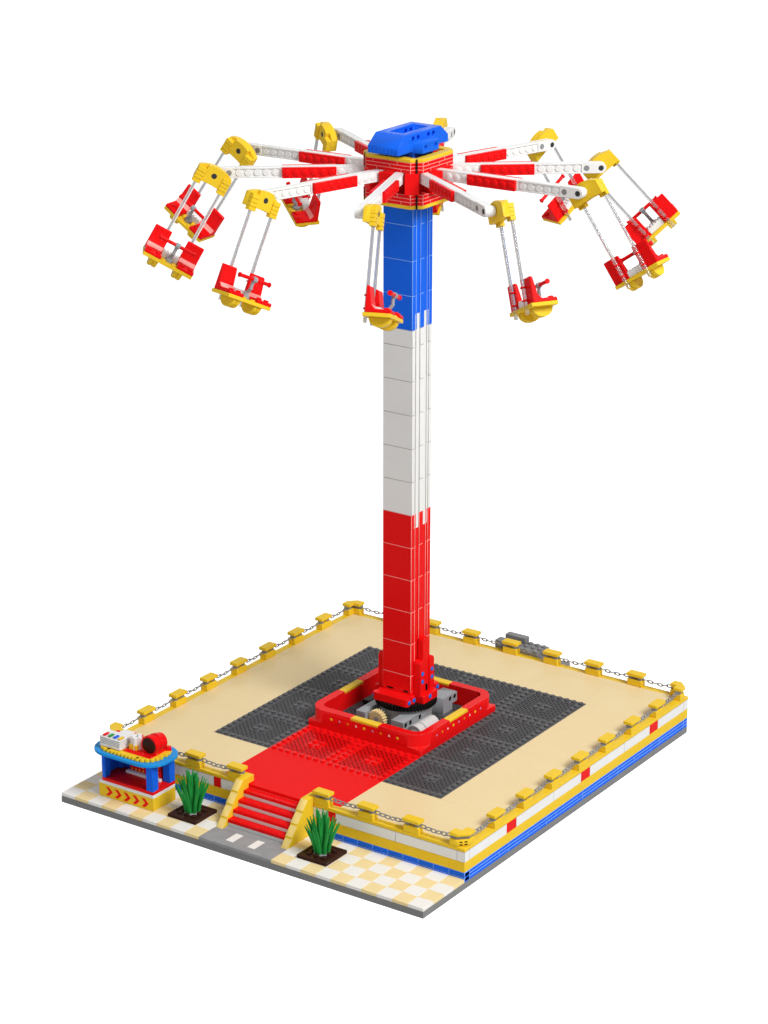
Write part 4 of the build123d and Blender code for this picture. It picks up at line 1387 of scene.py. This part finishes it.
@dataclass
class Kiosk:
    """The ticket kiosk with its display of a ribbed box and a drum."""

    x: float = -136.0
    y: float = -232.0
    foot: float = 9.6
    counter: float = 25.6
    tray: float = 57.6
    shelf_z: float = 60.8
    box_x: tuple[float, float] = (-28.8, -4.8)
    box_y: tuple[float, float] = (-16.8, -0.8)
    marks: tuple = (("red", Abs.RED, -26), ("green", Abs.GREEN, -20), ("blue", Abs.BLUE, -14),
                    ("yellow", Abs.YELLOW, -8.4))
    drum: tuple[float, float, float] = (21.6, 1.4, 69.4)

    def at(self, x: float, y: float, z: float) -> tuple[float, float, float]:
        """A point of the kiosk in the toy's frame."""
        return self.x + x, self.y + y, z

    def build(self) -> None:
        """Makes the kiosk."""
        base, band, signs = Form(), Form(), Form()
        z = self.foot
        for x0, x1 in ((-32, 0), (0, 32)):
            base.block(self.at(x0, -16, z), self.at(x1, 16, z + 12.8))
            band.block(self.at(x0, -16, z + 12.8), self.at(x1, 16, z + 16))
        base.soften(0.35).piece("kiosk_walls", Abs.YELLOW, "base", "kiosk_base")
        band.soften(0.3).piece("kiosk_band", Abs.WHITE, "base", "kiosk_base")
        for k in range(5):
            x = -24 + 10.5 * k
            for sign in (-1, 1):
                outline = ((x, 4.2 * sign), (x + 4.0, 4.2 * sign), (x + 8.4, 0), (x + 4.4, 0))
                signs.slab([self.at(a, -16.05, z + 6.4 + b) for a, b in outline], (0, -0.14, 0))
        signs.piece("kiosk_chevrons", Abs.RED)
        top = Form()
        outline = [(-27.2, -16), (32, -16), (32, 16), (-32, 16), (-32, -11.2)]
        top.slab([self.at(a, b, self.counter) for a, b in outline], (0, 0, PLATE))
        top.soften(0.35).piece("kiosk_counter_top", Abs.RED, "base", "kiosk_counter")
        Form.of("kiosk_columns").soften(0.4).piece("kiosk_frame", Abs.BLUE, "base", "kiosk_columns")
        Form.of("kiosk_roof").soften(0.6).piece("kiosk_roof_plate", Abs.AZURE, "base", "kiosk_roof")
        self.shelf()
        self.display()

    def shelf(self) -> None:
        """Makes the white shelf inside and the spotted board behind it."""
        shelf, board, spots = Form(), Form(), Form()
        shelf.block(self.at(-16, 3, 28.8), self.at(24, 7, 31.6)).soften(0.4).piece("kiosk_shelf", Abs.WHITE)
        board.block(self.at(-14, 7, 28.8), self.at(22, 12.6, 43)).soften(0.4).piece("kiosk_board", Abs.RED)
        for i in range(8):
            for j in range(3):
                x, z = -11 + 4.3 * i, 33 + 3.6 * j
                spots.rod(self.at(x, 7.1, z), self.at(x, 6.85, z), 0.9, sides=8)
        spots.piece("kiosk_spots", Abs.YELLOW)

    def display(self) -> None:
        """Makes the scalloped tray on the roof, the ribbed box and the drum."""
        tray, edge, box = Form(), Form(), Form()
        z, low = self.tray, self.shelf_z
        outline = rounded(64, 37, 15, 6)
        tray.slab([self.at(a, b, z) for a, b in outline], (0, 0, 2.6))
        for a, b in rounded(64, 37, 15, 5):
            tray.rod(self.at(a, b, z), self.at(a, b, z + 2.9), 2.3, 1.9, 10)
        for i in range(-4, 5):
            for s in (-1, 1):
                tray.rod(self.at(i * 4.2, s * 18.5, z), self.at(i * 4.2, s * 18.5, z + 2.9), 2.3, 1.9, 10)
        for i in range(9):
            a = -30 + i * 7.4
            b = 16.6 - (abs(i - 4) ** 2) * 0.35
            edge.rod(self.at(a, b, z + 2.4), self.at(a, b, z + 6.4), 3.0, 2.5, 10)
        edge.block(self.at(-4, -14, z + 2.5), self.at(28, 14, z + 3.2))
        tray.soften(0.3).piece("kiosk_tray", Abs.YELLOW, "base", "kiosk_display")
        (x0, x1), (y0, y1) = self.box_x, self.box_y
        box.block(self.at(x0, y0, low), self.at(x1, y1, 63.6))
        for k in range(4):
            box.block(self.at(x0, y0, 64.1 + 1.65 * k), self.at(x1, y1, 65.2 + 1.65 * k))
        box.block(self.at(-20, 0, low), self.at(-8, 9, 69.5))
        for k in range(5):
            a = 2 * math.pi * k / 5
            x, y = 4 + 3.4 * math.cos(a), -3.4 + 3.4 * math.sin(a)
            box.rod(self.at(x, y, low), self.at(x, y, 73 + k % 2), 2.6, 2.2, 10)
        box.soften(0.3).piece("kiosk_ribbed_box", Abs.WHITE, "base", "kiosk_display")
        core = Form().block(self.at(x0 + 0.7, y0 + 0.7, low), self.at(x1 - 0.7, y1 - 0.7, 70.0))
        core.piece("kiosk_box_core", Abs.CHAIN_GREY)
        for name, finish, a in self.marks:
            mark = Form().block(self.at(a, -15.4, 71), self.at(a + PLATE, -9, 71.9)).soften(0.2)
            mark.piece(f"kiosk_box_{name}", finish)
        Form().block(self.at(-1, -9, low), self.at(8, -4, 66)).soften(0.4).piece("kiosk_butter", Abs.YELLOW)
        drum = Form()
        cx, cy, level = self.drum
        drum.rod(self.at(cx, cy - 9, level), self.at(cx, cy - 4, level), 9.2, 9.2, 28)
        drum.rod(self.at(cx, cy - 4.4, level), self.at(cx, cy - 1, level), 8.2, 8.2, 28)
        drum.rod(self.at(cx, cy - 1.4, level), self.at(cx + 1, cy + 8, level - 1), 9.0, 8.0, 20)
        drum.block(self.at(cx - 8, cy - 8, 60.6), self.at(cx + 7, cy + 8, 63))
        drum.add(edge.soften(0.3)).soften(0.5, 1.0)
        drum.piece("kiosk_drum", Abs.RED, "base", "kiosk_display")
        face = Form()
        face.rod(self.at(cx, cy - 9.5, level), self.at(cx, cy - 8.8, level), 7.4, 7.8, 24)
        face.soften(0.3, 1.0).piece("kiosk_drum_face", Abs.BROWN, "base", "kiosk_display")


@dataclass
class Planters:
    """Two trays with bristle plants of tapered, bent blades."""

    x: float = 72.0
    y: float = -232.0
    foot: float = 9.6
    side: float = 32.0
    height: float = 42.0
    seed: int = 7
    blades: int = 45
    spin: float = 2.399

    def blade(self, form: Form, spin: float, lean: float, height: float) -> None:
        """Extrudes one blade from a small foot in four bent, tapering steps.

        Args:
            form: takes the blade.
            spin: the direction it leans to, in radians.
            lean: how far its tip stands out, in millimetres.
            height: how tall it is.
        """
        start = lean * 0.36
        way = Vector((math.cos(spin), math.sin(spin), 0))
        foot = bmesh.ops.create_circle(form.bm, cap_ends=True, segments=5, radius=1.35)["verts"]
        bmesh.ops.translate(form.bm, vec=way * start, verts=foot)
        face = list({f for v in foot for f in v.link_faces})
        last = 0.0
        for step, share in enumerate((0.25, 0.5, 0.78, 1.0)):
            made = bmesh.ops.extrude_face_region(form.bm, geom=face)["geom"]
            verts = [v for v in made if isinstance(v, bmesh.types.BMVert)]
            face = [f for f in made if isinstance(f, bmesh.types.BMFace)]
            out = (lean - start) * (share ** 1.4 - last ** 1.4)
            bmesh.ops.translate(form.bm, vec=way * out + UP * height * (share - last), verts=verts)
            middle = sum((v.co for v in verts), Vector()) / len(verts)
            size = (0.98, 0.92, 0.8, 0.4)[step]
            bmesh.ops.scale(form.bm, vec=(size,) * 3, space=Matrix.Translation(-middle), verts=verts)
            last = share

    def build(self) -> None:
        """Makes both planters."""
        trays, rims, soil, leaves, stones = Form(), Form(), Form(), Form(), Form()
        plant = Form()
        dice = random.Random(self.seed)
        for k in range(self.blades):
            ring = k % 3
            lean = (4.0, 9.5, 15.5)[ring] + dice.uniform(-1.2, 1.2)
            height = self.height * (1.0, 0.93, 0.74)[ring] * dice.uniform(0.82, 1.0)
            self.blade(plant, k * self.spin, lean, height)
        half = self.side / 2
        for x in (-self.x, self.x):
            for turn in range(4):
                place = Matrix.Translation((x, self.y, 0)) @ quarter(turn)
                rims.block((-half, -half, self.foot), (half - 3, -half + 3, self.foot + PLATE), place)
            deep, top = half - 2, self.foot + 2.6
            soil.block((x - deep, self.y - deep, self.foot), (x + deep, self.y + deep, top))
            spots = [(x + STUD * i, self.y + STUD * j) for i in (-1, 0, 1) for j in (-1, 0, 1) if i or j]
            trays.studs(spots, top)
            leaves.add(plant, Matrix.Translation((x, self.y, self.foot + 3.4)))
            stones.rod((x, self.y, self.foot + 2), (x, self.y, self.foot + 3.6), 7.4, 7.0, 16)
        rims.soften(0.4)
        rims.add(soil)
        rims.add(trays.soften(0.3)).piece("planter_frames", Abs.BROWN, "base", "planter_trays")
        stones.piece("planter_feet", Abs.LIGHT_GREY)
        leaves.piece("planter_blades", Abs.GREEN, "base", "planter_bushes")


@dataclass
class PowerBox:
    """The grey box behind the plinth, with studs and blocks on its narrower upper part."""

    foot: float = 27.0
    low: float = 41.6
    high: float = 48.0

    def build(self) -> None:
        """Makes the box."""
        form = Form().block((-32, 200, 0), (48, 232, self.foot))
        form.block((-20, 200, self.foot), (28, 224, self.low))
        form.block((-26, 206, self.foot), (-18, 216, self.low + 2))
        form.block((-20, 216, self.low), (4, 224, self.high)).soften(0.5)
        form.add(Form().studs([(x, y) for x in range(-16, 28, 8) for y in (204, 212)], self.low).soften(0.3))
        form.add(Form().studs([(x, 220) for x in (8, 16, 24)], self.low).soften(0.3))
        form.piece("power_box_case", Abs.BASE_GREY, "base", "power_box")


def main() -> None:
    """Builds the studio and every sub-assembly in order."""
    logging.basicConfig(level=logging.INFO, format="%(message)s")
    Studio().build()
    for part in (Ground(), Walls(), Deck(), Fence(), Stairs(), Ring(), Drive(), Tower(), Hub(), Arms(),
                 Swings(), Kiosk(), Planters(), PowerBox()):
        part.build()


if __name__ == "__main__":
    main()
